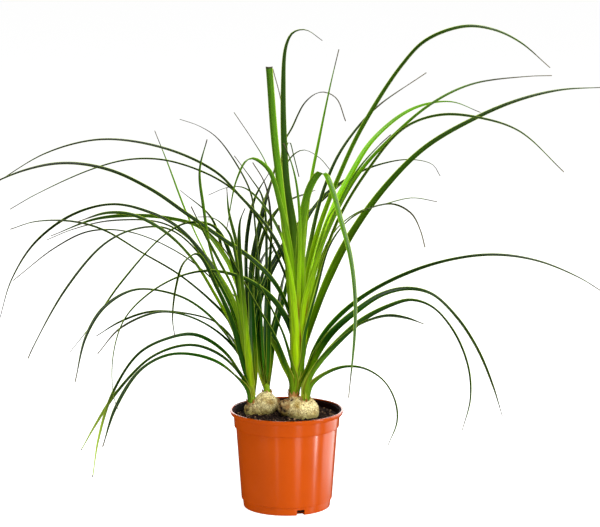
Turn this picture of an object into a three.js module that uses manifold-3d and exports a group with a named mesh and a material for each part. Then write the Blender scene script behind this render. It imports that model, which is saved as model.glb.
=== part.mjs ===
// A ponytail palm in a thin plastic nursery pot: two corky bulbs stand in peat, and each has
// sprouted two crowns of long narrow arching leaves. Millimetres, +Z up, the pot's foot at z = 0.
import * as THREE from 'three';
import { mergeVertices } from 'three/addons/utils/BufferGeometryUtils.js';
import Module from 'manifold-3d';

const wasm = await Module();
wasm.setup();

// Pot: a 12 cm nursery pot, turned about the Z axis
const POT_HEIGHT = 104;
const LIP_RADIUS = 60;
const LIP_HEIGHT = 4.8;
const LIP_WIDTH = 3.6;
const LIP_ROUND = 0.7;
const COLLAR_RADIUS = 56;
const COLLAR_FOOT = 86;
const BODY_TOP_RADIUS = 53.3;
const BODY_FOOT_RADIUS = 47.8;
const FOOT_RADIUS = 45.6;
const FOOT_HEIGHT = 8.5;
const FLOOR_TOP = 3;
const HOLLOW_RADIUS = 34;
const HOLLOW_DEPTH = 1.5;
const WALL = 1.2;
const POT_SIDES = 48;
const NOTCHES = 3;
const NOTCH_WIDTH = 8.5;
const NOTCH_HEIGHT = 6;
const NOTCH_DEPTH = 14;
const NOTCH_TURN = -71;

// Peat: fills the pot to a few millimetres under the rim
const SOIL_TOP = 96.6;
const SOIL_BUMP = 1.1;
const CLEARANCE = 0.3;

// Edges shorter than this are closed up
const HAIRLINE = 0.02;

// Bulbs: lumps that have grown together, each [x, y, z, radius x, radius y, radius z, sides]
const LEFT_BULB = [
  [-22.5, 13, 106.3, 12.4, 12.6, 13.2, 20],
  [-36.6, 12, 98.7, 8.8, 9, 10.8, 14],
  [-30.5, 10.5, 99.5, 8.4, 9, 10.5, 12],
  [-12, 25, 103, 8, 7.5, 10.5, 10],
];
const RIGHT_BULB = [
  [17.2, -2, 101.6, 17, 16.6, 17, 22],
  [-1.6, -6, 106.5, 7.4, 7.4, 9, 12],
  [7.2, -3, 109.5, 7.4, 7.4, 9.5, 12],
];
const CORK_BUMP = 0.035;

// The photographer's eye, 2.6 m in front. A leaf's route is drawn as [x, z] on the upright plane
// y = 0 and then pushed back or forward along the line of sight, so its outline stays the same.
const EYE = new THREE.Vector3(14, -2600, 701);

// Leaves: a blade tapers to a fine tip, has a shallow channel, and rolls as it leaves its crown
const SEGMENT_LENGTH = 44;
const CHANNEL = 0.16;
const BLADE_THICKNESS = 1.3;
const TIP_WIDTH = 1.1;
const ROOT_RADIUS = 2.6;
const ROOT_RISE = 4;
const LEAN_POWER = 1.5;
const ROLL_BY = 0.3;

// Dry scales: a collar of brown points round the foot of each crown
const SCALE_POINTS = 8;
const SCALE_CUT = 2;
const SCALE_FOOT = -5;
const SCALE_THICKNESS = 1.3;

// Crowns: base is where the stem leaves its bulb. A leaf is [width, reach to the back, roll in
// degrees, route, end], and a cut leaf ends square.
const CROWNS = {
  left: {
    base: [-36.6, 12, 109.2],
    stem: [5.2, 5.6, 20],
    scales: 3.8,
    bulb: 'bulb_left',
    color: 0x5c9a1f,
    leaves: [
      [11.5, -110, -42, [[-46, 150], [-56, 187], [-76, 227], [-98, 263], [-124, 290], [-158, 309],
        [-186, 312], [-217, 303]]],
      [12.5, 60, -40, [[-45, 155], [-58, 218], [-88, 269], [-113, 297], [-143, 313], [-180, 321],
        [-222, 310], [-262, 280], [-287, 241], [-300, 200]]],
      [10, 120, -45, [[-47, 180], [-50, 235], [-70, 275], [-90, 297], [-120, 306], [-163, 309],
        [-200, 305], [-245, 288]]],
      [10.5, -90, 30, [[-44, 150], [-48, 215], [-57, 262], [-75, 297], [-101, 302], [-127, 289],
        [-173, 238], [-204, 194], [-227, 165]]],
      [8.5, -140, -35, [[-44, 150], [-66, 187], [-92, 213], [-117, 226], [-158, 231], [-190, 213],
        [-210, 181], [-222, 133]]],
      [6.5, -60, -30, [[-46, 165], [-62, 200], [-80, 220], [-112, 247], [-150, 270], [-190, 294],
        [-222, 303], [-261, 303], [-287, 295]]],
      [5.5, 95, 28, [[-46, 175], [-60, 220], [-80, 245], [-115, 272], [-162, 292], [-204, 293],
        [-240, 276], [-285, 241]]],
      [10.5, -130, -48, [[-46, 165], [-60, 215], [-97, 276], [-125, 296], [-158, 295], [-190, 279],
        [-231, 231], [-265, 171], [-271, 158]]],
      [5.5, 160, -30, [[-45, 165], [-56, 218], [-85, 268], [-125, 300], [-181, 304], [-222, 295],
        [-249, 284]]],
      [6.5, 150, 25, [[-47, 180], [-60, 225], [-84, 268], [-106, 317], [-124, 367], [-136, 398]]],
      [7.5, -170, -20, [[-46, 175], [-56, 220], [-76, 260], [-87, 322], [-90, 357], [-82, 389]]],
      [9, 150, 20, [[-42, 170], [-46, 215], [-52, 277], [-60, 313], [-62, 339]]],
      [8.5, -160, -25, [[-42, 165], [-48, 220], [-54, 270], [-61, 293], [-76, 307], [-92, 308]]],
      [9, 180, 30, [[-43, 170], [-49, 223], [-66, 270], [-79, 308], [-110, 336]]],
      [10, -130, 35, [[-44, 170], [-53, 225], [-72, 265], [-86, 292], [-99, 319]]],
      [8.5, -190, 15, [[-40, 160], [-44, 215], [-49, 277], [-48, 304], [-43, 317]]],
      [9.5, 120, -20, [[-37, 160], [-40, 210], [-42, 262], [-40, 293], [-32, 329], [-18, 354]]],
      [11.5, 84, 15, [[-35, 150], [-36, 195], [-37, 252], [-29, 293], [-22, 323], [-15, 345]]],
      [8, -175, 38, [[-47, 160], [-56, 195], [-72, 232], [-93, 269], [-106, 261], [-115, 234],
        [-119, 200], [-117, 182]]],
      [8, 140, 32, [[-43, 145], [-55, 176], [-73, 196], [-99, 205], [-140, 208], [-174, 197],
        [-199, 182]]],
      [6, -40, -36, [[-42, 140], [-52, 165], [-76, 189], [-106, 204], [-135, 207], [-174, 190],
        [-198, 163]]],
      [8.5, -75, -38, [[-43, 130], [-65, 164], [-96, 183], [-125, 179], [-155, 163], [-182, 122],
        [-198, 72], [-205, 30]]],
      [8, 50, 40, [[-42, 128], [-65, 158], [-99, 172], [-140, 160], [-177, 123], [-202, 85],
        [-217, 59]]],
      [7.5, -140, -40, [[-43, 126], [-68, 151], [-99, 162], [-126, 161], [-154, 145], [-180, 105],
        [-194, 63]]],
      [9, 60, 10, [[-35, 145], [-33, 188], [-23, 232], [-9, 262], [5, 285]]],
      [7, 110, -15, [[-36, 160], [-38, 205], [-36, 250], [-22, 291], [-3, 321], [25, 334]]],
    ],
  },
  back: {
    base: [-20.8, 17, 118.4],
    stem: [4.6, 5, 20],
    scales: 3.8,
    bulb: 'bulb_left',
    color: 0x3f7a22,
    leaves: [
      [6, 95, 20, [[-25, 155], [-29, 240], [-33, 300], [-37, 332], [-50, 360], [-72, 391], [-90, 403],
        [-110, 410]]],
      [9, 165, -15, [[-26, 145], [-33, 175], [-37, 225], [-33, 270], [-24, 318], [-14, 350],
        [-8, 380]]],
      [6.5, 180, 20, [[-23, 165], [-21, 250], [-25, 328], [-36, 347], [-54, 372]]],
      [10.5, 130, 25, [[-25, 145], [-31, 175], [-30, 213], [-20, 245], [-5, 275], [10, 297],
        [28, 317], [60, 345]]],
      [8.5, 205, -10, [[-21, 150], [-17, 178], [-9, 212], [-4, 240], [2, 262]]],
      [8.5, 165, 15, [[-18, 150], [-14, 180], [-5, 215], [4, 250], [16, 282]]],
      [5.5, 40, -20, [[-19, 170], [-18, 250], [-16, 300], [-22, 342], [-35, 365]]],
      [8, 215, 18, [[-25, 165], [-30, 205], [-31, 245], [-27, 280], [-15, 308], [2, 325], [30, 336]]],
      [10, 226, -12, [[-24, 150], [-31, 190], [-33, 230], [-26, 262], [-16, 278], [-8, 284]]],
      [8.5, 100, 30, [[-23, 150], [-28, 190], [-29, 230], [-20, 262], [-12, 275]]],
      [10, 190, 25, [[-24, 138], [-31, 160], [-37, 190], [-46, 222], [-58, 250]]],
      [9, 212, 5, [[-23, 145], [-28, 178], [-33, 215], [-36, 245]]],
    ],
  },
  middle: {
    base: [7.4, 0, 118.4],
    stem: [5, 6.4, 22],
    scales: 5,
    bulb: 'bulb_right',
    color: 0x7fb824,
    leaves: [
      [12, -60, -38, [[9, 160], [8, 225], [-4, 266], [-22, 299], [-50, 331], [-71, 353], [-110, 374],
        [-160, 387], [-200, 388], [-250, 374], [-305, 341]]],
      [7.5, 45, 30, [[7, 165], [6, 220], [-8, 262], [-30, 306], [-54, 335], [-80, 352], [-124, 367],
        [-162, 368], [-201, 358], [-259, 332], [-287, 316]]],
      [10.5, -100, -42, [[10, 155], [4, 200], [-12, 236], [-37, 263], [-65, 283], [-103, 310],
        [-140, 336], [-184, 357], [-228, 364], [-270, 357], [-342, 326]]],
      [13, -150, 30, [[9, 165], [8, 215], [4, 270], [-6, 319], [-19, 358], [-38, 369], [-51, 348],
        [-62, 296]]],
      [8, 110, -25, [[8, 170], [6, 225], [1, 270], [-18, 312], [-43, 338], [-61, 339], [-81, 331]]],
      [6, 60, 20, [[9.5, 165], [6, 215], [0, 270], [-8, 325], [-22, 366], [-34, 387], [-54, 417]]],
      [12.5, -45, 20, [[10.5, 165], [7, 200], [3, 250], [-6, 335], [-12, 385], [-18, 464]], 'cut'],
      [14, -30, -25, [[12.5, 165], [11, 220], [8, 290], [0, 350], [-3, 440], [0, 486], [7, 499],
        [20, 502], [37, 491]]],
      [6.5, 100, 15, [[10.5, 165], [8, 220], [2, 330], [-5, 425], [-14, 462]]],
      [8, 150, -25, [[9.5, 165], [4, 220], [-3, 330], [-3, 383], [6, 401], [20, 428], [35, 438],
        [51, 432], [61, 408]]],
      [8.5, 60, 10, [[12.5, 165], [14, 220], [25, 341], [33, 384], [46, 448], [54, 482]]],
      [6, 70, -20, [[9.5, 165], [6, 230], [0, 330], [-1, 376], [3, 387], [8, 370], [13, 350]]],
      [8, -130, 25, [[11.5, 165], [13, 225], [14, 304], [10, 345], [4, 368], [-3, 385]]],
      [6, 170, 20, [[9.5, 165], [4, 220], [-3, 320], [1, 365], [17, 378], [34, 370], [46, 356]]],
      [8, 110, 30, [[16, 165], [15, 215], [24, 275], [36, 328], [52, 369], [71, 398], [94, 423],
        [144, 458]]],
      [14, -50, 32, [[15, 160], [15, 195], [32, 285], [60, 361], [80, 403], [119, 465], [144, 491],
        [182, 505], [212, 502], [240, 489], [271, 463]]],
      [13, 150, 35, [[17, 160], [20, 215], [45, 307], [67, 353], [90, 389], [129, 420], [169, 428],
        [200, 417]]],
      [10, 60, 30, [[17, 160], [22, 215], [40, 285], [73, 350], [108, 390], [150, 426], [191, 446],
        [247, 454], [273, 455]]],
      [9.5, -120, 40, [[18, 160], [25, 212], [52, 300], [84, 356], [121, 400], [158, 414], [200, 411],
        [241, 397], [287, 355]]],
      [7.5, -170, -25, [[16, 165], [19, 220], [50, 310], [73, 356], [97, 384], [108, 394]]],
      [8, 190, 30, [[13, 165], [12, 220], [15, 290], [36, 327], [67, 350], [94, 362], [127, 368],
        [151, 363], [159, 351]]],
      [15.5, 12, 38, [[17, 140], [19, 165], [28, 195], [44, 240], [68, 289], [104, 340], [145, 381],
        [200, 413], [241, 430], [282, 440], [329, 443]]],
      [13, -241, -15, [[12.5, 165], [14, 220], [16, 300], [24, 338], [34, 353], [39, 353], [47, 336],
        [56, 304], [66, 266], [71, 225], [71, 185], [65, 116]]],
      [7.5, 125, -30, [[17, 155], [19, 185], [28, 225], [40, 275], [56, 300], [78, 315], [100, 321],
        [130, 328], [156, 324]]],
      [8, -180, 30, [[17, 155], [20, 185], [31, 228], [46, 280], [66, 306], [92, 319], [112, 321],
        [130, 311], [139, 294], [144, 276]]],
      [9, -160, -30, [[4, 135], [-2, 152], [-12, 180], [-28, 209], [-45, 240], [-62, 270], [-85, 295],
        [-110, 303]]],
      [13, -80, 10, [[9.5, 150], [9, 190], [5, 240], [-2, 275], [-8, 300]]],
      [13.5, -90, 15, [[14.5, 155], [17, 190], [26, 235], [35, 280], [45, 310], [60, 330]]],
      [9, 125, -25, [[4, 136], [-2, 150], [-14, 175], [-30, 195], [-45, 215], [-60, 230]]],
      [10, -100, 35, [[9, 155], [4, 188], [-8, 212], [-22, 228], [-45, 243], [-80, 251], [-112, 245],
        [-145, 226], [-170, 199], [-182, 160], [-182, 118], [-177, 102]]],
      [11, -45, 35, [[15.5, 132], [21, 145], [29.5, 167], [46, 192], [73, 218], [110, 241],
        [160, 260], [213, 268], [260, 262], [305, 244], [331, 228]]],
      [8, -75, -30, [[8.5, 135], [5, 152], [-3, 182], [-12, 203], [-24, 228], [-40, 255]]],
    ],
  },
  right: {
    base: [19, -8, 117.2],
    stem: [5.2, 6, 18],
    scales: 3.6,
    bulb: 'bulb_right',
    color: 0x4b8a26,
    leaves: [
      [10.5, 90, 38, [[23.5, 138], [31, 158], [47, 184], [73, 208], [100, 226], [127, 232],
        [152, 226], [178, 201], [200, 167], [217, 127], [227, 96]]],
      [10, -110, -40, [[25, 135], [34, 151], [53, 174], [80, 199], [108, 214], [130, 220], [152, 213],
        [174, 188], [190, 150], [193, 115], [185, 81]]],
      [8, -120, 30, [[24.5, 136], [32, 154], [50, 174], [76, 194], [103, 203], [125, 201],
        [143, 195]]],
      [7, -50, -38, [[27, 129], [42, 142], [62, 149], [82, 147], [102, 134], [114, 112], [116, 90],
        [107, 65]]],
    ],
  },
};

// A closed geometry as a solid that can be joined and cut
function toSolid(geometry) {
  const bare = geometry.clone();
  bare.deleteAttribute('normal');
  bare.deleteAttribute('uv');
  const merged = mergeVertices(bare, 1e-4);
  const mesh = new wasm.Mesh({
    numProp: 3,
    vertProperties: new Float32Array(merged.attributes.position.array),
    triVerts: new Uint32Array(merged.index.array),
  });
  return new wasm.Manifold(mesh);
}

// A solid as a geometry
function toGeometry(solid) {
  const mesh = solid.getMesh();
  const geometry = new THREE.BufferGeometry();
  geometry.setAttribute('position', new THREE.BufferAttribute(mesh.vertProperties, 3));
  geometry.setIndex(new THREE.BufferAttribute(mesh.triVerts, 1));
  return geometry;
}

// The largest of a solid's bodies, without the crumbs and hairline edges that a cut leaves
function largestBody(solid) {
  return solid.simplify(HAIRLINE).decompose().sort((a, b) => b.volume() - a.volume())[0];
}

// A closed profile of [radius, height] turned about the Z axis
function turned(profile, sides) {
  const points = profile.map(([radius, height]) => new THREE.Vector2(radius, height));
  return new THREE.LatheGeometry(points, sides).rotateX(Math.PI / 2);
}

// Moves every vertex of a geometry to where the rule puts it
function reshape(geometry, rule) {
  const position = geometry.attributes.position;
  const point = new THREE.Vector3();
  for (let i = 0; i < position.count; i += 1) {
    point.fromBufferAttribute(position, i);
    rule(point);
    position.setXYZ(i, point.x, point.y, point.z);
  }
  return geometry;
}

// The pot's wall from its foot to its rim, as [radius, height], outside the given inset
function potWall(inset) {
  return [
    [FOOT_RADIUS - inset, FOOT_HEIGHT + inset],
    [BODY_FOOT_RADIUS - inset, FOOT_HEIGHT + 1 + inset],
    [BODY_TOP_RADIUS - inset, COLLAR_FOOT],
    [COLLAR_RADIUS - 0.9 - inset, COLLAR_FOOT + 1 + inset],
  ];
}

function makePot() {
  const lipFoot = POT_HEIGHT - LIP_HEIGHT;
  const lipSkirt = LIP_RADIUS - WALL;
  const profile = [
    [0, HOLLOW_DEPTH],
    [HOLLOW_RADIUS, HOLLOW_DEPTH],
    [HOLLOW_RADIUS + 1, 0],
    [FOOT_RADIUS - 0.6, 0],
    [FOOT_RADIUS, 0.6],
    ...potWall(0),
    [COLLAR_RADIUS, POT_HEIGHT - 1.7],
    [lipSkirt, POT_HEIGHT - 1.9],
    [lipSkirt, lipFoot],
    [LIP_RADIUS - 0.2, lipFoot],
    [LIP_RADIUS, POT_HEIGHT - LIP_ROUND],
    [LIP_RADIUS - LIP_ROUND, POT_HEIGHT],
    [LIP_RADIUS - LIP_WIDTH + LIP_ROUND, POT_HEIGHT],
    [LIP_RADIUS - LIP_WIDTH, POT_HEIGHT - LIP_ROUND],
    [COLLAR_RADIUS - WALL, POT_HEIGHT - LIP_HEIGHT],
    ...potWall(WALL).reverse(),
    [FOOT_RADIUS - WALL, FLOOR_TOP],
    [0, FLOOR_TOP],
  ];
  let pot = toSolid(turned(profile, POT_SIDES));
  for (let i = 0; i < NOTCHES; i += 1) {
    const notch = new THREE.BoxGeometry(NOTCH_DEPTH, NOTCH_WIDTH, NOTCH_HEIGHT + 2);
    notch.translate(FOOT_RADIUS - 0.5, 0, NOTCH_HEIGHT / 2 - 1);
    notch.rotateZ(THREE.MathUtils.degToRad(NOTCH_TURN + (i * 360) / NOTCHES));
    pot = pot.subtract(toSolid(notch));
  }
  return toGeometry(pot);
}

// One bulb: its lumps, uneven as cork is, grown together. A grown bulb is the room it needs.
function bulbSolid(lumps, grow) {
  let bulb = null;
  for (const [x, y, z, radiusX, radiusY, radiusZ, sides] of lumps) {
    const lump = new THREE.SphereGeometry(1, sides, Math.round(sides * 0.6)).rotateX(Math.PI / 2);
    reshape(lump, (p) => {
      const swell = Math.sin(3 * p.x + x) * Math.cos(4 * p.y + y) + 0.6 * Math.sin(6 * p.z + 5 * p.x);
      p.multiplyScalar(1 + CORK_BUMP * swell);
      p.multiply(new THREE.Vector3(radiusX + grow, radiusY + grow, radiusZ + grow));
    });
    lump.translate(x, y, z);
    const solid = toSolid(lump);
    bulb = bulb ? bulb.add(solid) : solid;
  }
  return bulb;
}

// Peat with a crumbly top and a plain hole for each bulb
function makeSoil(bulbHoles) {
  const inset = WALL + CLEARANCE;
  const wall = potWall(inset);
  const edge = COLLAR_RADIUS - inset - 0.4;
  const profile = [[0, FLOOR_TOP + CLEARANCE], [FOOT_RADIUS - inset, FLOOR_TOP + CLEARANCE], ...wall];
  for (const share of [1, 0.86, 0.7, 0.52, 0.3, 0]) {
    profile.push([edge * share, SOIL_TOP]);
  }
  const soil = turned(profile, POT_SIDES);
  reshape(soil, (p) => {
    const radius = Math.hypot(p.x, p.y);
    if (p.z > SOIL_TOP - 1) {
      const crumbs = Math.sin(0.55 * p.x + 1.3) * Math.cos(0.6 * p.y) + 0.7 * Math.sin(0.93 * p.x + p.y);
      const fade = Math.min(1, (edge - radius) / 5);
      p.z += SOIL_BUMP * crumbs * fade;
    }
  });
  let solid = toSolid(soil);
  for (const hole of bulbHoles) {
    solid = solid.subtract(hole);
  }
  return toGeometry(largestBody(solid));
}

// A point of the upright plane y = 0, moved along the line of sight to the depth y
function seenAt(x, z, y) {
  const share = (y - EYE.y) / -EYE.y;
  return new THREE.Vector3(EYE.x + (x - EYE.x) * share, y, EYE.z + (z - EYE.z) * share);
}

// Where a point in space is seen on the upright plane y = 0
function seenOnPlane(point) {
  const share = (point.y - EYE.y) / -EYE.y;
  return new THREE.Vector3(EYE.x + (point.x - EYE.x) / share, 0, EYE.z + (point.z - EYE.z) / share);
}

function smooth(share) {
  const t = Math.min(1, Math.max(0, share));
  return t * t * (3 - 2 * t);
}

// A leaf's width at a share of its length, from its sheath to its fine tip
function bladeWidth(width, share, end) {
  const root = 0.6 + 0.4 * smooth(share / 0.08);
  if (end === 'cut') {
    return width * root * (1 - 0.35 * share);
  }
  return Math.max(TIP_WIDTH, width * root * (1 - share ** 1.2) ** 0.85);
}

// One blade as a closed solid: at every step it has two edges, a channel and a keel
function bladeSolid(base, [width, reach, roll, route, end]) {
  const tip = seenAt(...route[route.length - 1], base.y + reach);
  const bearing = Math.atan2(tip.y - base.y, tip.x - base.x);
  const root = new THREE.Vector3(
    base.x + ROOT_RADIUS * Math.cos(bearing),
    base.y + ROOT_RADIUS * Math.sin(bearing),
    base.z + ROOT_RISE,
  );
  const stops = [seenOnPlane(root), ...route.map(([x, z]) => new THREE.Vector3(x, 0, z))];
  const drawn = new THREE.CatmullRomCurve3(stops, false, 'centripetal');
  const steps = Math.max(7, Math.round(drawn.getLength() / SEGMENT_LENGTH));
  const line = drawn.getSpacedPoints(steps).map((p, i) => {
    return seenAt(p.x, p.z, root.y + reach * (i / steps) ** LEAN_POWER);
  });
  const flat = new THREE.Vector3(-Math.sin(bearing), Math.cos(bearing), 0);
  const vertices = [];
  for (let i = 0; i <= steps; i += 1) {
    const share = i / steps;
    const along = line[Math.min(i + 1, steps)].clone().sub(line[Math.max(i - 1, 0)]).normalize();
    const across = flat.clone().addScaledVector(along, -flat.dot(along)).normalize();
    across.applyAxisAngle(along, THREE.MathUtils.degToRad(roll) * smooth(share / ROLL_BY));
    const up = along.clone().cross(across);
    const half = bladeWidth(width, share, end) / 2;
    const thick = Math.min(BLADE_THICKNESS, 0.7 + half * 0.2);
    const centre = line[i];
    vertices.push(
      centre.clone().addScaledVector(across, half).addScaledVector(up, CHANNEL * half),
      centre.clone().addScaledVector(up, -0.3 * thick * CHANNEL),
      centre.clone().addScaledVector(across, -half).addScaledVector(up, CHANNEL * half),
      centre.clone().addScaledVector(up, -thick),
    );
  }
  // Each quad is split from its outer corner, so that both faces of a twisted blade stay apart
  const faces = [0, 3, 1, 1, 3, 2];
  for (let i = 0; i < steps; i += 1) {
    for (let side = 0; side < 4; side += 1) {
      const here = 4 * i + side;
      const next = 4 * i + ((side + 1) % 4);
      if (side % 2 === 0) {
        faces.push(here, next, next + 4, here, next + 4, here + 4);
      } else {
        faces.push(here, next, here + 4, next, next + 4, here + 4);
      }
    }
  }
  const last = 4 * steps;
  faces.push(last, last + 1, last + 3, last + 1, last + 2, last + 3);
  const mesh = new wasm.Mesh({
    numProp: 3,
    vertProperties: new Float32Array(vertices.flatMap((p) => p.toArray())),
    triVerts: new Uint32Array(faces),
  });
  return new wasm.Manifold(mesh);
}

// A crown: a short stem with every blade's root sunk into it, standing on its bulb
function makeCrown(crown, bulbRoom) {
  const base = new THREE.Vector3(...crown.base);
  const [radius, topRadius, height] = crown.stem;
  const profile = [
    [0, -ROOT_RISE],
    [radius - 0.4, -ROOT_RISE],
    [radius, 0],
    [topRadius, height * 0.7],
    [topRadius * 0.6, height],
    [0, height + 3],
  ];
  const stem = toSolid(turned(profile, 12).translate(base.x, base.y, base.z));
  const blades = crown.leaves.map((leaf) => bladeSolid(base, leaf));
  const solid = wasm.Manifold.union([stem, ...blades]).subtract(bulbRoom);
  return toGeometry(largestBody(solid));
}

// A collar of dry pointed scales round the foot of a crown
function makeScales(crown, bulbRoom) {
  const [x, y, z] = crown.base;
  const inner = crown.stem[0] + CLEARANCE + 0.2;
  const outer = inner + SCALE_THICKNESS;
  const profile = [
    [inner, SCALE_FOOT],
    [outer, SCALE_FOOT],
    [outer, crown.scales],
    [inner, crown.scales],
    [inner, SCALE_FOOT],
  ];
  const ring = reshape(turned(profile, 2 * SCALE_POINTS), (p) => {
    if (p.z > 0) {
      p.z -= (SCALE_CUT / 2) * (1 - Math.cos(SCALE_POINTS * Math.atan2(p.y, p.x)));
    }
  });
  const solid = toSolid(ring.translate(x, y, z)).subtract(bulbRoom);
  return toGeometry(largestBody(solid));
}

function piece(name, geometry, color, roughness) {
  geometry.computeVertexNormals();
  const mesh = new THREE.Mesh(geometry, new THREE.MeshStandardMaterial({ color, roughness, metalness: 0 }));
  mesh.name = name;
  return mesh;
}

const bulbs = { bulb_left: LEFT_BULB, bulb_right: RIGHT_BULB };
const rooms = {};
for (const [name, lumps] of Object.entries(bulbs)) {
  rooms[name] = bulbSolid(lumps, CLEARANCE);
}

const palm = new THREE.Group();
palm.add(piece('pot', makePot(), 0xd45004, 0.3));
palm.add(piece('soil', makeSoil(Object.values(rooms)), 0x2a1a14, 0.95));
for (const [name, lumps] of Object.entries(bulbs)) {
  palm.add(piece(name, toGeometry(bulbSolid(lumps, 0)), 0xcdbf8f, 0.85));
}
for (const [name, crown] of Object.entries(CROWNS)) {
  palm.add(piece(`crown_${name}`, makeCrown(crown, rooms[crown.bulb]), crown.color, 0.5));
  palm.add(piece(`scales_${name}`, makeScales(crown, rooms[crown.bulb]), 0x8a5a33, 0.9));
}

export default palm;
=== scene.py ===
# A ponytail palm in a plain plastic nursery pot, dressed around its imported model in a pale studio.
# The frame is in metres, +Z up, with the pot's foot at z = 0. The shapes below are made in
# millimetres and brought to metres when a piece is finished.
import bisect
import math
import random

import bmesh
import bpy
from mathutils import Matrix, Vector, noise


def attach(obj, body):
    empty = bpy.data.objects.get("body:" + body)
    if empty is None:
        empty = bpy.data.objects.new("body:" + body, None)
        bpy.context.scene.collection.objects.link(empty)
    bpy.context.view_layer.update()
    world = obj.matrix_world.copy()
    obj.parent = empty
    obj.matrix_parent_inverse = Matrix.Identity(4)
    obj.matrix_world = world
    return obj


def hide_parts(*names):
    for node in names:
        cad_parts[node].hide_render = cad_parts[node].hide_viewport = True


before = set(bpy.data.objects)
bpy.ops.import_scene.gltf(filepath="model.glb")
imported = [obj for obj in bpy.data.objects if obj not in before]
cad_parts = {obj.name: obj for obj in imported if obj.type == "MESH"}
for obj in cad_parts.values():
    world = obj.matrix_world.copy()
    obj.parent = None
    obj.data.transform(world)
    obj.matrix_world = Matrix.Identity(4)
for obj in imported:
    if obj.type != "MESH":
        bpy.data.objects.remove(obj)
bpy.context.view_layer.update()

MM = 0.001
# Points closer than this are one point
SAME_POINT = 1e-4

# Pot: a 12 cm nursery pot, turned about the Z axis
POT_HEIGHT = 104
LIP_RADIUS = 60
LIP_HEIGHT = 4.8
LIP_WIDTH = 2.4
LIP_ROUND = 0.7
LIP_SKIRT = 1.5
SKIRT_ROUND = 0.8
COLLAR_RADIUS = 56
COLLAR_FOOT = 86
COLLAR_ROUND = 0.8
BODY_TOP_RADIUS = 53.3
BODY_FOOT_RADIUS = 47.8
BODY_ROUND = 0.8
FOOT_RADIUS = 45.6
FOOT_HEIGHT = 8.5
FOOT_ROUND = 1.2
LEDGE_ROUND = 0.4
FLOOR_TOP = 3
HOLLOW_RADIUS = 34
HOLLOW_DEPTH = 1.5
WALL = 1.2
POT_STEPS = 160
NOTCHES = 3
NOTCH_WIDTH = 8.5
NOTCH_HEIGHT = 6
NOTCH_DEPTH = 14
NOTCH_ROUND = 0.8
NOTCH_TURN = -71

# Peat: fills the pot to a few millimetres under the rim
SOIL_TOP = 96.6
SOIL_BUMP = 1.1
SOIL_RINGS = 64
SOIL_STEPS = 150
CLEARANCE = 0.3
SOIL_RADIUS = COLLAR_RADIUS - WALL - CLEARANCE - 0.4
CRUMBS = 1500
FIBRES = 170
FIBRE_STEPS = 5
FIBRE_SIDES = 4

# Bulbs: lumps that have grown together, each [x, y, z, radius x, radius y, radius z]
BULBS = {
    "bulb_left": [
        [-22.5, 13, 106.3, 12.4, 12.6, 13.2],
        [-36.6, 12, 98.7, 8.8, 9, 10.8],
        [-30.5, 10.5, 99.5, 8.4, 9, 10.5],
        [-13, 25, 102, 8, 7.5, 9],
    ],
    "bulb_right": [
        [17.2, -2, 101.6, 17, 16.6, 17],
        [-1.6, -6, 106.5, 7.4, 7.4, 9],
        [7.2, -3, 109.5, 7.4, 7.4, 9.5],
    ],
}
GROWN_TOGETHER = 1.0
BULB_REACH = 40.0
BULB_HALVINGS = 13
# How brown and knobbly each bulb's shoulders and necks are, in the order of its lumps
NECK_TANS = {"bulb_left": (0.62, 0.5, 1.0), "bulb_right": (1.0, 0.85)}

# The photographer's eye, 2.6 m in front. A leaf's route is drawn as [x, z] on the upright plane
# y = 0 and then pushed back or forward along the line of sight, so its outline stays the same.
EYE = Vector((14, -2600, 701))
AIM = Vector((14, 0, 259))
FOCAL_PIXELS = 2533
PHOTO_WIDTH = 600
SENSOR = 36

# Leaves: a blade tapers to a fine tip, is folded along its midrib, clasps its crown at the foot
# and rolls as it leaves it. Where two numbers stand for a stretch of a leaf, they are where it
# starts and how long it is, in millimetres or as shares of the leaf's length.
BLADE_STEP = 4.5
LEAST_STEPS = 8
BLADE_AROUND = 14
FINE_STEPS = 10
FOOT_WIDTH = 0.8
FOOT_WIDENS = (0, 0.08)
CUT_TAPER = 0.35
TAPER_START = 1.2
TAPER_END = 0.75
TIP_WIDTH = 1.2
GIRTH_SETTLES = (0.16, 0.28)
GIRTH_ENDS = (0.55, 0.3)
FOLD = 0.34
FOLD_ROUND = 0.03
FOLD_SINK = 0.17
CLASP = 1.2
FREE_CLASP = 0.22
CLASP_RUN = (0, 42)
FEET_RUN = (0, 42)
BLADE_THICKNESS = 0.75
# A narrow blade is thinner: this much and a share of half its width
LEAST_THICKNESS = 0.25
THICKENS = 0.2
EDGE_THICKNESS = 0.3
RIB_THICKNESS = 0.5
RIB_WIDTH = 0.16
LEAN_POWER = 1.5
ROLL_RUN = (0, 0.3)
SWAY_DEGREES = 9
SWAY_LENGTH = 60
SWAY_RUN = (0, 80)
STEM_STEPS = 24
# Where a leaf starts in its stem, as shares of the stem's radius and of the rise of its roots. A
# leaf's foot counts as young by how high over the stem's base its route starts.
ROOT_RISE = 4
OLD_ROOT = (0.86, -0.4)
YOUNG_ROOT = (0.3, 1.6)
YOUNG_FEET = (8, 45)

# Dry scales: strips in this many steps up and across, sunk in the cork at their feet
SCALE_STEPS = 6
SCALE_SIDES = 4
SCALE_THICKNESS = 0.22
SCALE_LEAST = 2.2
SCALE_SINK = 2.5

# What each point of a leaf carries for its colour: the distance from its root in metres, its
# age and painted shade, the dried share of its tip, its own hue, and how far it is pale or rusty
LEAF_LAYERS = ("run", "age_and_shade", "dry", "hue", "pale", "rust")
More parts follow.
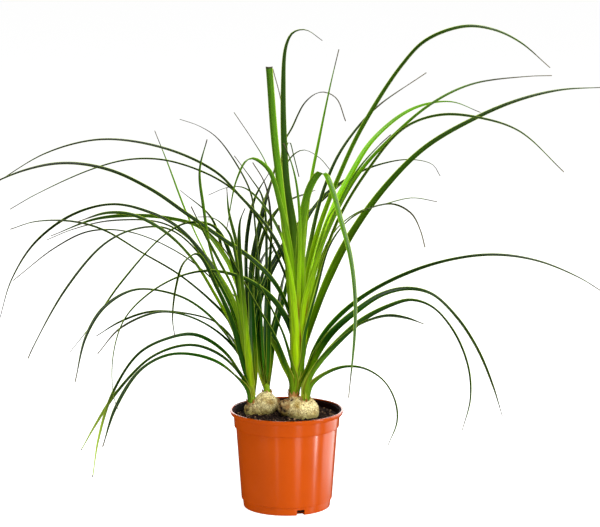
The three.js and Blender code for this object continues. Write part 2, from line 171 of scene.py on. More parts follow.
# How old and how shaded a leaf looks, by its letter in the tones of its crown: y young and yellow-green, l
# light, m light at its foot and dark outwards, b middling and blue-green, d dark, g thin and greyed, f dark
# at its foot and fading to yellow-green outwards, r middling with a rusty stripe low down, p light
# and slowly darker, s the same with a rusty stripe, k fairly dark, n dark with a yellowed end, u young
# with a rusty stripe. The darkness is partly the deeper green of older leaves and partly painted
# shade. These are the age and shade at the leaf's foot and at its tip, 0 young and 1 old and dark,
# and the millimetres that lie between.
AGES_AND_SHADES = {
    "y": (0.0, 0.2, 250),
    "l": (0.05, 0.5, 250),
    "m": (0.12, 0.92, 200),
    "b": (0.78, 0.9, 150),
    "d": (0.65, 1.05, 75),
    "g": (0.9, 1.1, 40),
    "f": (0.6, 0.9, 80),
    "r": (0.2, 0.55, 250),
    "p": (0.05, 0.8, 420),
    "s": (0.0, 0.8, 420),
    "k": (0.3, 1.0, 170),
    "n": (0.9, 1.1, 40),
    "u": (0.0, 0.2, 250),
}
# The share of a leaf's length where it starts to fade, and how far it fades
FADES = {"f": (0.3, 0.6), "n": (0.66, 0.95)}
FADE_LENGTH = 0.3
# How strong the rusty stripe is, where it runs and how far off the midrib
RUSTS = {"r": 1.5, "s": 2.0, "u": 2.2}
RUST_STARTS = (40, 25)
RUST_ENDS = (80, 50)
RUST_SIDE = 0.3
USUAL_DRY_TIP = 0.05
# How far up its stem the right crown's foot is pale
PALE_FOOT = (0, 4)
# A leaf's green from its root outwards, over 0.4 m. The old greens run to near black: partly the deeper
# green of old leaves and partly painted shade.
YOUNG_GREENS = ((0, "#b2cc18"), (0.1, "#b8e204"), (0.35, "#a8e000"), (0.6, "#6cac06"), (1, "#42700a"))
OLD_AND_SHADED_GREENS = ((0, "#4e8010"), (0.06, "#2e6a06"), (0.16, "#184804"), (0.4, "#122a04"), (1, "#0e1606"))

# The leaves of each crown, each [width, reach to the back, roll in degrees, route], and a last
# word where the leaf is cut off square
LEFT_LEAVES = [
    [11.5, -110, -42, [[-46, 150], [-56, 187], [-76, 227], [-98, 263], [-124, 290], [-158, 309],
     [-186, 312], [-217, 303]]],
    [12.5, 60, -40, [[-45, 155], [-58, 218], [-88, 269], [-113, 297], [-143, 313], [-180, 321],
     [-222, 310], [-262, 280], [-287, 241], [-300, 200]]],
    [10, 120, -45, [[-47, 180], [-50, 235], [-70, 275], [-90, 297], [-120, 306], [-163, 309], [-200, 305],
     [-245, 288]]],
    [10.5, -90, 30, [[-44, 150], [-48, 215], [-57, 262], [-75, 297], [-101, 302], [-127, 289], [-173, 238],
     [-204, 194], [-227, 165]]],
    [8.5, -140, -35, [[-44, 150], [-66, 187], [-92, 213], [-117, 226], [-158, 231], [-190, 213],
     [-210, 181], [-222, 133]]],
    [6.5, -60, -30, [[-46, 165], [-62, 200], [-80, 220], [-112, 247], [-150, 270], [-190, 294],
     [-222, 303], [-261, 303], [-287, 295]]],
    [5.5, 95, 28, [[-46, 175], [-60, 220], [-80, 245], [-115, 272], [-162, 292], [-204, 293], [-240, 276],
     [-285, 241]]],
    [10.5, -130, -48, [[-46, 165], [-60, 215], [-97, 276], [-125, 296], [-158, 295], [-190, 279],
     [-231, 231], [-265, 171], [-271, 158]]],
    [5.5, 160, -30, [[-45, 165], [-56, 218], [-85, 268], [-125, 300], [-181, 304], [-222, 295],
     [-249, 284]]],
    [6.5, 150, 25, [[-47, 180], [-60, 225], [-84, 268], [-106, 317], [-124, 367], [-136, 398]]],
    [7.5, -170, -20, [[-46, 175], [-56, 220], [-76, 260], [-87, 322], [-90, 357], [-82, 389]]],
    [9, 150, 20, [[-42, 170], [-46, 215], [-52, 277], [-60, 313], [-62, 339]]],
    [8.5, -160, -25, [[-42, 165], [-48, 220], [-54, 270], [-61, 293], [-76, 307], [-92, 308]]],
    [9, 180, 30, [[-43, 170], [-49, 223], [-66, 270], [-79, 308], [-110, 336]]],
    [10, -130, 35, [[-44, 170], [-53, 225], [-72, 265], [-86, 292], [-99, 319]]],
    [8.5, -190, 15, [[-40, 160], [-44, 215], [-49, 277], [-48, 304], [-43, 317]]],
    [9.5, 120, -20, [[-37, 160], [-40, 210], [-42, 262], [-40, 293], [-32, 329], [-18, 354]]],
    [11.5, 84, 15, [[-35, 150], [-36, 195], [-37, 252], [-29, 293], [-22, 323], [-15, 345]]],
    [8, -175, 38, [[-47, 160], [-56, 195], [-72, 232], [-93, 269], [-106, 261], [-115, 234], [-119, 200],
     [-117, 182]]],
    [8, 140, 32, [[-43, 145], [-55, 176], [-73, 196], [-99, 205], [-140, 208], [-174, 197], [-199, 182]]],
    [6, -40, -36, [[-42, 140], [-52, 165], [-76, 189], [-106, 204], [-135, 207], [-174, 190], [-198, 163]]],
    [8.5, -75, -38, [[-43, 130], [-65, 164], [-96, 183], [-125, 179], [-155, 163], [-182, 122], [-198, 72],
     [-205, 30]]],
    [8, 50, 40, [[-42, 128], [-65, 158], [-99, 172], [-140, 160], [-177, 123], [-202, 85], [-217, 59]]],
    [7.5, -140, -40, [[-43, 126], [-68, 151], [-99, 162], [-126, 161], [-154, 145], [-180, 105],
     [-194, 63]]],
    [9, 60, 10, [[-35, 145], [-33, 188], [-23, 232], [-9, 262], [5, 285]]],
    [7, 110, -15, [[-36, 160], [-38, 205], [-36, 250], [-22, 291], [-3, 321], [25, 334]]],
]
BACK_LEAVES = [
    [6, 95, 20, [[-25, 155], [-29, 240], [-33, 300], [-37, 332], [-50, 360], [-72, 391], [-90, 403],
     [-110, 410]]],
    [9, 165, -15, [[-26, 145], [-33, 175], [-37, 225], [-33, 270], [-24, 318], [-14, 350], [-8, 380]]],
    [6.5, 180, 20, [[-23, 165], [-21, 250], [-25, 328], [-36, 347], [-54, 372]]],
    [10.5, 130, 25, [[-25, 145], [-31, 175], [-30, 213], [-20, 245], [-5, 275], [10, 297], [28, 317],
     [60, 345]]],
    [8.5, 205, -10, [[-21, 150], [-17, 178], [-9, 212], [-4, 240], [2, 262]]],
    [8.5, 165, 15, [[-18, 150], [-14, 180], [-5, 215], [4, 250], [16, 282]]],
    [5.5, 40, -20, [[-19, 170], [-18, 250], [-16, 300], [-22, 342], [-35, 365]]],
    [8, 215, 18, [[-25, 165], [-30, 205], [-31, 245], [-27, 280], [-15, 308], [2, 325], [30, 336]]],
    [10, 226, -12, [[-24, 150], [-31, 190], [-33, 230], [-26, 262], [-16, 278], [-8, 284]]],
    [8.5, 100, 30, [[-23, 150], [-28, 190], [-29, 230], [-20, 262], [-12, 275]]],
    [10, 190, 25, [[-24, 138], [-31, 160], [-37, 190], [-46, 222], [-58, 250]]],
    [9, 212, 5, [[-23, 145], [-28, 178], [-33, 215], [-36, 245]]],
]
MIDDLE_LEAVES = [
    [12, -60, -38, [[9, 160], [8, 225], [-4, 266], [-22, 299], [-50, 331], [-71, 353], [-110, 374],
     [-160, 387], [-200, 388], [-250, 374], [-305, 341]]],
    [7.5, 45, 30, [[7, 165], [6, 220], [-8, 262], [-30, 306], [-54, 335], [-80, 352], [-124, 367],
     [-162, 368], [-201, 358], [-259, 332], [-287, 316]]],
    [10.5, -100, -42, [[10, 155], [4, 200], [-12, 236], [-37, 263], [-65, 283], [-103, 310], [-140, 336],
     [-184, 357], [-228, 364], [-270, 357], [-342, 326]]],
    [13, -150, 30, [[9, 165], [8, 215], [4, 270], [-6, 319], [-19, 358], [-38, 369], [-51, 348],
     [-62, 296]]],
    [8, 110, -25, [[8, 170], [6, 225], [1, 270], [-18, 312], [-43, 338], [-61, 339], [-81, 331]]],
    [6, 60, 20, [[9.5, 165], [6, 215], [0, 270], [-8, 325], [-22, 366], [-34, 387], [-54, 417]]],
    [12.5, -45, 20, [[10.5, 165], [7, 200], [3, 250], [-6, 335], [-12, 385], [-18, 464]], "cut"],
    [14, -30, -25, [[12.5, 165], [11, 220], [8, 290], [0, 350], [-3, 440], [0, 486], [7, 499], [20, 502],
     [37, 491]]],
    [6.5, 100, 15, [[10.5, 165], [8, 220], [2, 330], [-5, 425], [-14, 462]]],
    [8, 150, -25, [[9.5, 165], [4, 220], [-3, 330], [-3, 383], [6, 401], [20, 428], [35, 438], [51, 432],
     [61, 408]]],
    [8.5, 60, 10, [[12.5, 165], [14, 220], [25, 341], [33, 384], [46, 448], [54, 482]]],
    [6, 70, -20, [[9.5, 165], [6, 230], [0, 330], [-1, 376], [3, 387], [8, 370], [13, 350]]],
    [8, -130, 25, [[11.5, 165], [13, 225], [14, 304], [10, 345], [4, 368], [-3, 385]]],
    [6, 170, 20, [[9.5, 165], [4, 220], [-3, 320], [1, 365], [17, 378], [34, 370], [46, 356]]],
    [8, 110, 30, [[16, 165], [15, 215], [24, 275], [36, 328], [52, 369], [71, 398], [94, 423], [144, 458]]],
    [14, -50, 32, [[15, 160], [15, 195], [32, 285], [60, 361], [80, 403], [119, 465], [144, 491],
     [182, 505], [212, 502], [240, 489], [271, 463]]],
    [13, 150, 35, [[17, 160], [20, 215], [45, 307], [67, 353], [90, 389], [129, 420], [169, 428],
     [200, 417]]],
    [10, 60, 30, [[17, 160], [22, 215], [40, 285], [73, 350], [108, 390], [150, 426], [191, 446],
     [247, 454], [273, 455]]],
    [9.5, -120, 40, [[18, 160], [25, 212], [52, 300], [84, 356], [121, 400], [158, 414], [200, 411],
     [241, 397], [287, 355]]],
    [7.5, -170, -25, [[16, 165], [19, 220], [50, 310], [73, 356], [97, 384], [108, 394]]],
    [8, 190, 30, [[13, 165], [12, 220], [15, 290], [36, 327], [67, 350], [94, 362], [127, 368], [151, 363],
     [159, 351]]],
    [15.5, 12, 38, [[17, 140], [19, 165], [28, 195], [44, 240], [68, 289], [104, 340], [145, 381],
     [200, 413], [241, 430], [282, 440], [329, 443]]],
    [13, -241, -15, [[12.5, 165], [14, 220], [16, 300], [24, 338], [34, 353], [39, 353], [47, 336],
     [56, 304], [66, 266], [71, 225], [71, 185], [65, 116]]],
    [7.5, 125, -30, [[17, 155], [19, 185], [28, 225], [40, 275], [56, 300], [78, 315], [100, 321],
     [130, 328], [156, 324]]],
    [8, -180, 30, [[17, 155], [20, 185], [31, 228], [46, 280], [66, 306], [92, 319], [112, 321],
     [130, 311], [139, 294], [144, 276]]],
    [9, -160, -30, [[4, 135], [-2, 152], [-12, 180], [-28, 209], [-45, 240], [-62, 270], [-85, 295],
     [-110, 303]]],
    [13, -80, 10, [[9.5, 150], [9, 190], [5, 240], [-2, 275], [-8, 300]]],
    [13.5, -90, 15, [[14.5, 155], [17, 190], [26, 235], [35, 280], [45, 310], [60, 330]]],
    [9, 125, -25, [[4, 136], [-2, 150], [-14, 175], [-30, 195], [-45, 215], [-60, 230]]],
    [10, -100, 35, [[9, 155], [4, 188], [-8, 212], [-22, 228], [-45, 243], [-80, 251], [-112, 245],
     [-145, 226], [-170, 199], [-182, 160], [-182, 118], [-177, 102]]],
    [11, -45, 35, [[15.5, 132], [21, 145], [29.5, 167], [46, 192], [73, 218], [110, 241], [160, 260],
     [213, 268], [260, 262], [305, 244], [331, 228]]],
    [8, -75, -30, [[8.5, 135], [5, 152], [-3, 182], [-12, 203], [-24, 228], [-40, 255]]],
]
RIGHT_LEAVES = [
    [10.5, 90, 38, [[23.5, 138], [31, 158], [47, 184], [73, 208], [100, 226], [127, 232], [152, 226],
     [178, 201], [200, 167], [217, 127], [227, 96]]],
    [10, -110, -40, [[25, 135], [34, 151], [53, 174], [80, 199], [108, 214], [130, 220], [152, 213],
     [174, 188], [190, 150], [193, 115], [185, 81]]],
    [8, -120, 30, [[24.5, 136], [32, 154], [50, 174], [76, 194], [103, 203], [125, 201], [143, 195]]],
    [7, -50, -38, [[27, 129], [42, 142], [62, 149], [82, 147], [102, 134], [114, 112], [116, 90],
     [107, 65]]],
]

# Crowns: base is where the stem leaves its bulb, stem its radius and height, and age and shade how
# old and how shaded it looks, partly painted shade. Spread is how much wider the crown's foot is
# where its leaves clasp it loosely, and girths are how much of its drawn width a leaf keeps halfway,
# where it turns edge-on, and towards its end, where it lies flatter; slims are the leaves that are
# slimmer or broader than that, and dry tips those that have dried further or less from their tips.
# Round the foot stand this many dry scales, so tall, so straw-coloured at most, and so much taller on
# the crown's left.
CROWNS = {
    "left": {
        "base": (-36.6, 12, 109.2), "stem": (5.2, 20), "age_and_shade": 0.6, "spread": 1.1,
        "girths": (0.74, 1.5), "scales": 9, "scale_height": 3.8, "straw": 0.8, "left_rise": 0,
        "leaves": LEFT_LEAVES, "tones": "mkmkdgdddllmmdmmddgggnnggd",
        "dry_tips": {2: 0.05, 6: 0.35, 8: 0.3, 20: 0.3, 21: 0.01, 22: 0.01, 23: 0.06},
        "slims": {1: 0.65, 3: 0.9, 4: 0.85, 7: 0.48, 14: 0.58, 21: 0.8, 22: 1.15},
    },
    "back": {
        "base": (-20.8, 17, 118.4), "stem": (4.6, 20), "age_and_shade": 0.5, "spread": 1,
        "girths": (0.95, 1.3), "scales": 7, "scale_height": 3.8, "straw": 0.7, "left_rise": 0,
        "leaves": BACK_LEAVES, "tones": "gdgdddgddddd",
        "dry_tips": {0: 0.3, 6: 0.3},
        "slims": {},
    },
    "middle": {
        "base": (7.4, 0, 118.4), "stem": (5, 22), "age_and_shade": 0.2, "spread": 1,
        "girths": (0.84, 0.95), "scales": 17, "scale_height": 5, "straw": 0.3, "left_rise": 1.4,
        "leaves": MIDDLE_LEAVES, "tones": "kgdlmylmymlmsgmpylmlmbrmddyufddd",
        "dry_tips": {5: 0.2, 6: 0.006, 8: 0.25, 9: 0.25, 14: 0.25, 17: 0.2, 24: 0.25},
        "slims": {0: 0.65, 3: 0.85, 6: 0.92, 7: 1.1, 15: 1.15, 29: 0.85, 30: 0.85},
    },
    "right": {
        "base": (19, -8, 117.2), "stem": (5.2, 18), "age_and_shade": 0.3, "spread": 1.75,
        "girths": (0.8, 1.9), "scales": 5, "scale_height": 3.6, "straw": 0.7, "left_rise": 0,
        "leaves": RIGHT_LEAVES, "tones": "dddd",
        "dry_tips": {},
        "slims": {},
    },
}

# Studio: sizes and distances are in metres here. A light is its name, its bearing and its height
# in degrees, its distance, its width and height, its power, what it is kept for and how it shows.
# The pot's own lights are low, so that its rim and its collar cast no dark bands.
FLOOR_SIZE = 20
LIT_POINT = Vector((0, 0, 0.15))
LIGHTS = (
    ("overhead", 20, 62, 2.2, (0.8, 0.8), 44, "all_but_the_pot", "both"),
    ("key_front", 24, 24, 2.2, (0.8, 0.8), 26, "all_but_the_pot", "both"),
    ("key_right", 85, 25, 2.0, (0.7, 1.0), 18, "all_but_the_pot", "both"),
    ("fill_left", -75, 15, 2.0, (0.7, 1.2), 2, "all_but_the_pot", "both"),
    ("key_behind", 195, 35, 2.2, (0.8, 0.8), 12, "all_but_the_pot", "both"),
    ("pot_right", 58, 5, 2.0, (0.8, 0.6), 44, "pot_alone", "light"),
    ("pot_left", -52, 5, 2.0, (0.8, 0.6), 20, "pot_alone", "light"),
    ("pot_behind", 180, 20, 2.0, (1.0, 0.6), 34, "pot_alone", "light"),
    ("pot_over", 10, 62, 2.2, (0.5, 0.5), 16, "pot_alone", "light"),
    ("backdrop", 180, 12, 2.2, (3.2, 1.0), 36, "pot_alone", "gloss"),
    ("strip_narrow", 70, 6, 1.6, (0.05, 1.6), 55, "pot_alone", "gloss"),
    ("strip_front", 26, 6, 1.6, (0.34, 1.6), 9, "pot_alone", "gloss"),
    ("strip_left", -22, 6, 1.6, (0.12, 1.6), 1.8, "pot_alone", "gloss"),
    ("panel_right", 116, 6, 1.6, (1.5, 1.6), 36, "pot_alone", "gloss"),
)


def linear(text):
    """An sRGB hex colour as the linear values that Blender's sockets take."""
    channels = [int(text[i:i + 2], 16) / 255 for i in (1, 3, 5)]
    return [c / 12.92 if c <= 0.04045 else ((c + 0.055) / 1.055) ** 2.4 for c in channels] + [1.0]


def add(tree, kind, feeds, **settings):
    """Adds a node. Settings are its own properties; feeds are its sockets, each a value, a hex
    colour, a socket or a node whose first output in use feeds it."""
    made = tree.nodes.new(f"ShaderNode{kind}")
    for name, value in settings.items():
        setattr(made, name, value)
    for name, value in feeds.items():
        if isinstance(value, bpy.types.Node):
            value = next(output for output in value.outputs if output.enabled)
        if isinstance(value, bpy.types.NodeSocket):
            tree.links.new(value, made.inputs[name])
        else:
            made.inputs[name].default_value = linear(value) if isinstance(value, str) else value
    return made


def finish_of(look):
    """A material named for its look, a function that adds its nodes to a tree and gives the last."""
    material = bpy.data.materials.new(look.__name__)
    material.use_nodes = True
    tree = material.node_tree
    tree.nodes.clear()
    add(tree, "OutputMaterial", {"Surface": look(tree)})
    return material


def moulded_orange_polypropylene(tree):
    # Injection-moulded orange polypropylene: a glossy skin with faint flow clouds, and fine draw
    # lines up the wall that stretch its highlights into tall streaks
    place = add(tree, "TexCoord", {}).outputs["Object"]
    clouds = add(tree, "TexNoise", {"Vector": place, "Scale": 28.0, "Detail": 3.0})
    body = add(tree, "Mix", {0: clouds, 6: "#ad4200", 7: "#ba4900"}, data_type="RGBA")
    # Draw lines about 1 mm apart and some 60 mm long
    drawn = add(tree, "Mapping", {"Vector": place, "Scale": (1000, 1000, 16)})
    lines = add(tree, "TexNoise", {"Vector": drawn, "Scale": 1.0, "Detail": 2.0})
    gloss = add(tree, "MapRange", {"Value": clouds, "To Min": 0.22, "To Max": 0.29})
    # Orange peel of about 1.5 mm
    peel = add(tree, "TexNoise", {"Vector": place, "Scale": 650.0, "Detail": 2.0})
    dimples = add(tree, "Bump", {"Height": peel, "Strength": 0.04, "Distance": 0.0003})
    grooves = add(
        tree, "Bump", {"Height": lines, "Normal": dimples, "Strength": 0.05, "Distance": 0.0003})
    skin = add(
        tree, "BsdfPrincipled",
        {"Base Color": body, "Roughness": gloss, "IOR": 1.49, "Specular IOR Level": 0.3,
         "Anisotropic": 0.85, "Anisotropic Rotation": 0.25, "Normal": grooves})
    # The inner wall, dulled by wet peat and painted near black: partly the peat's stain and partly painted
    # shade, where the wall stands in shadow inside the pot
    inside = add(tree, "Attribute", {}, attribute_name="inside").outputs["Fac"]
    peat_stain_and_painted_shade = add(tree, "Mix", {0: clouds, 6: "#120403", 7: "#2a0c06"}, data_type="RGBA")
    stained_and_shaded_wall = add(
        tree, "BsdfPrincipled",
        {"Base Color": peat_stain_and_painted_shade, "Roughness": 0.85, "Specular IOR Level": 0.1, "Normal": dimples})
    return add(tree, "MixShader", {0: inside, 1: skin, 2: stained_and_shaded_wall})


def moist_milled_peat(tree):
    # Milled black peat, moist: crumbs and fibres of dark brown with a few paler chips of wood
    place = add(tree, "TexCoord", {}).outputs["Object"]
    chip = add(tree, "Attribute", {}, attribute_name="chip").outputs["Fac"]
    # Crumbs of about 2 mm
    grain = add(tree, "TexNoise", {"Vector": place, "Scale": 520.0, "Detail": 6.0, "Roughness": 0.7})
    dark = add(tree, "Mix", {0: grain, 6: "#030101", 7: "#24120c"}, data_type="RGBA")
    wood = add(tree, "Mix", {0: grain, 6: "#5a3a28", 7: "#c9a57c"}, data_type="RGBA")
    body = add(tree, "Mix", {0: chip, 6: dark, 7: wood}, data_type="RGBA")
    damp = add(tree, "MapRange", {"Value": grain, "To Min": 0.62, "To Max": 0.95})
    rough = add(tree, "Bump", {"Height": grain, "Strength": 0.8, "Distance": 0.0012})
    return add(
        tree, "BsdfPrincipled",
        {"Base Color": body, "Roughness": damp, "IOR": 1.4, "Specular IOR Level": 0.2,
         "Normal": rough})


def dry_corky_bark(tree):
    # The bulb's corky bark: dry cream flesh that has cracked finely as it swelled, pitted with
    # brown, greener where it meets the peat, and darkened with painted shade low down and in its creases
    place = add(tree, "TexCoord", {}).outputs["Object"]
    tan, crease_and_hollow_shade = (
        add(tree, "Attribute", {}, attribute_name=name).outputs["Fac"] for name in ("tan", "crease_and_hollow_shade"))
    height = add(tree, "SeparateXYZ", {"Vector": place}).outputs["Z"]
    # Blotches of about 8 mm
    blotch = add(tree, "TexNoise", {"Vector": place, "Scale": 125.0, "Detail": 4.0})
    cloudy = add(tree, "MapRange", {"Value": blotch, "From Min": 0.3, "From Max": 0.6})
    body = add(tree, "Mix", {0: cloudy, 6: "#a88c3c", 7: "#f8eaac"}, data_type="RGBA")
    # Patches of about 15 mm where the bark has weathered red-brown
    weather = add(tree, "TexNoise", {"Vector": place, "Scale": 66.0, "Detail": 5.0})
    weathered = add(
        tree, "MapRange", {"Value": weather, "From Min": 0.52, "From Max": 0.7, "To Max": 0.4})
    # Bark of the shoulders and necks, tanned and drawn out upwards in lines about 1.2 mm apart
    drawn = add(tree, "Mapping", {"Vector": place, "Scale": (800, 800, 130)})
    grain = add(tree, "TexNoise", {"Vector": drawn, "Scale": 1.0, "Detail": 3.0})
    bark = add(tree, "Mix", {0: grain, 6: "#180a02", 7: "#94601c"}, data_type="RGBA")
    # Green and yellow skin low down, where the bulb stands in the peat, its olive also darkening the lower
    # part as painted shade
    low = add(
        tree, "MapRange", {"Value": height, "From Min": 0.108, "From Max": 0.096, "To Max": 0.85},
        interpolation_type="SMOOTHSTEP")
    low = add(tree, "Math", {0: low, 1: blotch}, operation="MULTIPLY")
    green_skin_and_low_shade = add(tree, "Math", {0: low, 1: 1.5}, operation="MULTIPLY", use_clamp=True)
    # Pits and specks about 3 mm apart
    pits = add(tree, "TexVoronoi", {"Vector": place, "Scale": 330.0, "Randomness": 1.0})
    near = add(
        tree, "MapRange", {"Value": pits, "From Min": 0.34, "From Max": 0.18},
        interpolation_type="SMOOTHSTEP")
    some = add(tree, "MapRange", {"Value": pits.outputs["Color"], "From Min": 0.35, "From Max": 0.6})
    speck = add(tree, "Math", {0: near, 1: some}, operation="MULTIPLY")
    # Fine dry cracks between plates of about 3 mm
    plates = add(tree, "TexVoronoi", {"Vector": place, "Scale": 330.0}, feature="DISTANCE_TO_EDGE")
    crack = add(tree, "MapRange", {"Value": plates, "From Min": 0.11, "From Max": 0.01, "To Max": 0.7})
    # The last mark is painted shade, darkening the creases where lumps meet and the hollows between the
    # necks' knobs
    for share, colour in (
        (weathered, "#9c6430"), (tan, bark), (green_skin_and_low_shade, "#8f8a2e"), (speck, "#5a3c1c"),
        (crack, "#6a4a20"), (crease_and_hollow_shade, "#2a1509"),
    ):
        body = add(tree, "Mix", {0: share, 6: body, 7: colour}, data_type="RGBA")
    fuzz = add(tree, "TexNoise", {"Vector": place, "Scale": 1400.0, "Detail": 3.0})
    relief = add(tree, "Math", {0: fuzz, 1: speck}, operation="SUBTRACT")
    bump = add(tree, "Bump", {"Height": relief, "Strength": 0.55, "Distance": 0.0005})
    return add(
        tree, "BsdfPrincipled", {"Base Color": body, "Roughness": 0.8, "IOR": 1.4, "Normal": bump})


def dried_leaf_base(tree):
    # Dead leaf bases, dried to a thin brown paper with fine lengthwise fibres
    place = add(tree, "TexCoord", {}).outputs["Object"]
    drawn = add(tree, "Mapping", {"Vector": place, "Scale": (1500, 1500, 220)})
    fibres = add(tree, "TexNoise", {"Vector": drawn, "Scale": 1.0, "Detail": 4.0})
    dry = add(tree, "Attribute", {}, attribute_name="hue").outputs["Fac"]
    brown = add(tree, "Mix", {0: fibres, 6: "#5e3004", 7: "#c4781c"}, data_type="RGBA")
    straw = add(tree, "Mix", {0: fibres, 6: "#b08438", 7: "#ecd292"}, data_type="RGBA")
    body = add(tree, "Mix", {0: dry, 6: brown, 7: straw}, data_type="RGBA")
    bump = add(tree, "Bump", {"Height": fibres, "Strength": 0.5, "Distance": 0.0004})
    return add(
        tree, "BsdfPrincipled", {"Base Color": body, "Roughness": 0.7, "IOR": 1.45, "Normal": bump})


def waxy_leaf_cuticle(tree):
    # A living strap leaf: a waxy cuticle over fine parallel veins, a pale horny edge, pale and
    # yellow-green where it clasps its crown, darker as it ages and with painted shade, and dried out at its
    # tip
    unrolled = add(tree, "UVMap", {}, uv_map="blade")
    share, around, _ = add(tree, "SeparateXYZ", {"Vector": unrolled}).outputs
    run, age_and_shade, dry, hue, pale, striped = (
        add(tree, "Attribute", {}, attribute_name=name).outputs["Fac"] for name in LEAF_LAYERS)

    # Across the blade: 0 at the midrib and 1 at both edges, and 1 on the underside
    twice = add(tree, "Math", {0: around, 1: 2.0}, operation="MULTIPLY")
    half = add(tree, "Math", {0: twice}, operation="FRACT")
    centred = add(tree, "Math", {0: half, 1: 2.0, 2: -1.0}, operation="MULTIPLY_ADD")
    across = add(tree, "Math", {0: centred}, operation="ABSOLUTE")
    under = add(tree, "Math", {0: around, 1: 0.5}, operation="GREATER_THAN")

    # Colour by the distance from the root, in metres, for young leaves and for old ones, the old greens
    # partly painted shade
    steps = add(tree, "MapRange", {"Value": run, "From Max": 0.4})
    ramps = []
    for stops in YOUNG_GREENS, OLD_AND_SHADED_GREENS:
        ramps.append(add(tree, "ValToRGB", {0: steps}))
        edges = ramps[-1].color_ramp.elements
        while len(edges) < len(stops):
            edges.new(0.5)
        for edge, (position, colour) in zip(edges, stops):
            edge.position = position
            edge.color = linear(colour)
    green = add(tree, "Mix", {0: age_and_shade, 6: ramps[0], 7: ramps[1]}, data_type="RGBA")

    # Long streaks along the veins, about 1 mm apart where the real ones are half that
    lengthwise = add(tree, "Math", {0: run, 1: 30.0}, operation="MULTIPLY")
    sideways = add(tree, "Math", {0: centred, 1: 4.5}, operation="MULTIPLY")
    apart = add(tree, "Math", {0: hue, 1: 60.0}, operation="MULTIPLY")
    vein_place = add(tree, "CombineXYZ", {"X": lengthwise, "Y": sideways, "Z": apart})
    veins = add(tree, "TexNoise", {"Vector": vein_place, "Scale": 1.0, "Detail": 3.0})
    streak = add(
        tree, "MapRange",
        {"Value": veins, "From Min": 0.3, "From Max": 0.7, "To Min": 0.62, "To Max": 1.38})
    lift = add(tree, "MapRange", {"Value": hue, "To Min": 0.85, "To Max": 1.15})
    shade = add(tree, "Math", {0: streak, 1: lift}, operation="MULTIPLY")
    body = add(tree, "HueSaturation", {"Color": green, "Value": shade})

    # The underside is duller and greyer
    lower = add(tree, "Math", {0: under, 1: 0.2}, operation="MULTIPLY")
    # Reddish brown along the edges of the leaf's foot
    foot = add(
        tree, "MapRange", {"Value": run, "From Min": 0.075, "From Max": 0.01},
        interpolation_type="SMOOTHSTEP")
    rim = add(
        tree, "MapRange", {"Value": across, "From Min": 0.45, "From Max": 0.9},
        interpolation_type="SMOOTHSTEP")
    edge_rust = add(tree, "Math", {0: foot, 1: rim}, operation="MULTIPLY")
    rust = add(tree, "Math", {0: edge_rust, 1: striped}, operation="MAXIMUM")
    rust = add(tree, "Math", {0: rust, 1: veins}, operation="MULTIPLY", use_clamp=True)
    # The pale edge line, 0.4 mm wide on each side
    line = add(
        tree, "MapRange", {"Value": across, "From Min": 0.8, "From Max": 0.92, "To Max": 0.6},
        interpolation_type="SMOOTHSTEP")
    # The dried tip: olive first, then straw
    start = add(tree, "Math", {0: 1.0, 1: dry}, operation="SUBTRACT")
    past = add(tree, "Math", {0: share, 1: start}, operation="SUBTRACT")
    into = add(tree, "Math", {0: past, 1: dry}, operation="DIVIDE", use_clamp=True)
    olive = add(tree, "MapRange", {"Value": into, "From Max": 0.35})
    straw = add(tree, "MapRange", {"Value": into, "From Min": 0.3, "To Max": 0.85})
    # Pale is for leaves that fade to yellow-green outwards, and for the foot of one crown
    for part, colour in (
        (pale, "#b2cf40"), (lower, "#3f6a10"), (rust, "#7a3c08"), (line, "#b4d040"),
        (olive, "#2e341c"), (straw, "#625a44"),
    ):
        body = add(tree, "Mix", {0: part, 6: body, 7: colour}, data_type="RGBA")

    wax = add(tree, "MapRange", {"Value": under, "To Min": 0.36, "To Max": 0.5})
    relief = add(tree, "Bump", {"Height": veins, "Strength": 0.35, "Distance": 0.0003})
    return add(
        tree, "BsdfPrincipled",
        {"Base Color": body, "Roughness": wax, "IOR": 1.42, "Normal": relief,
         "Specular IOR Level": 0.2, "Subsurface Weight": 0.1,
         "Subsurface Radius": (0.5, 1.0, 0.2), "Subsurface Scale": 0.0008})


def matt_background_paper(tree):
    # White background paper, matt, as a seamless floor
    # It looks pure white to the camera, as overexposed paper does, yet lights the plant softly
    path = add(tree, "LightPath", {}).outputs
    soft = add(tree, "Math", {0: path["Is Diffuse Ray"], 1: 0.18}, operation="MULTIPLY")
    glow = add(tree, "Math", {0: path["Is Camera Ray"], 1: 0.9, 2: soft}, operation="MULTIPLY_ADD")
    return add(
        tree, "BsdfPrincipled",
        {"Base Color": "#c4c4c3", "Roughness": 0.95, "Specular IOR Level": 0.1,
         "Emission Color": "#ffffff", "Emission Strength": glow})


def eased(value, start, length):
    """A soft step: 0 up to its start and 1 past its length."""
    t = min(1.0, max(0.0, (value - start) / length))
    return t * t * (3 - 2 * t)


def polar(radius, angle, height=0):
    """A point at a radius and an angle about the upright axis."""
    return Vector((radius * math.cos(angle), radius * math.sin(angle), height))


def seen_at(x, z, y):
    """A point of the upright plane y = 0, moved along the line of sight to the depth y."""
    share = (y - EYE.y) / -EYE.y
    return Vector((EYE.x + (x - EYE.x) * share, y, EYE.z + (z - EYE.z) * share))


def seen_on_plane(point):
    """Where a point in space is seen on the upright plane y = 0."""
    share = (point.y - EYE.y) / -EYE.y
    return Vector((EYE.x + (point.x - EYE.x) / share, 0, EYE.z + (point.z - EYE.z) / share))


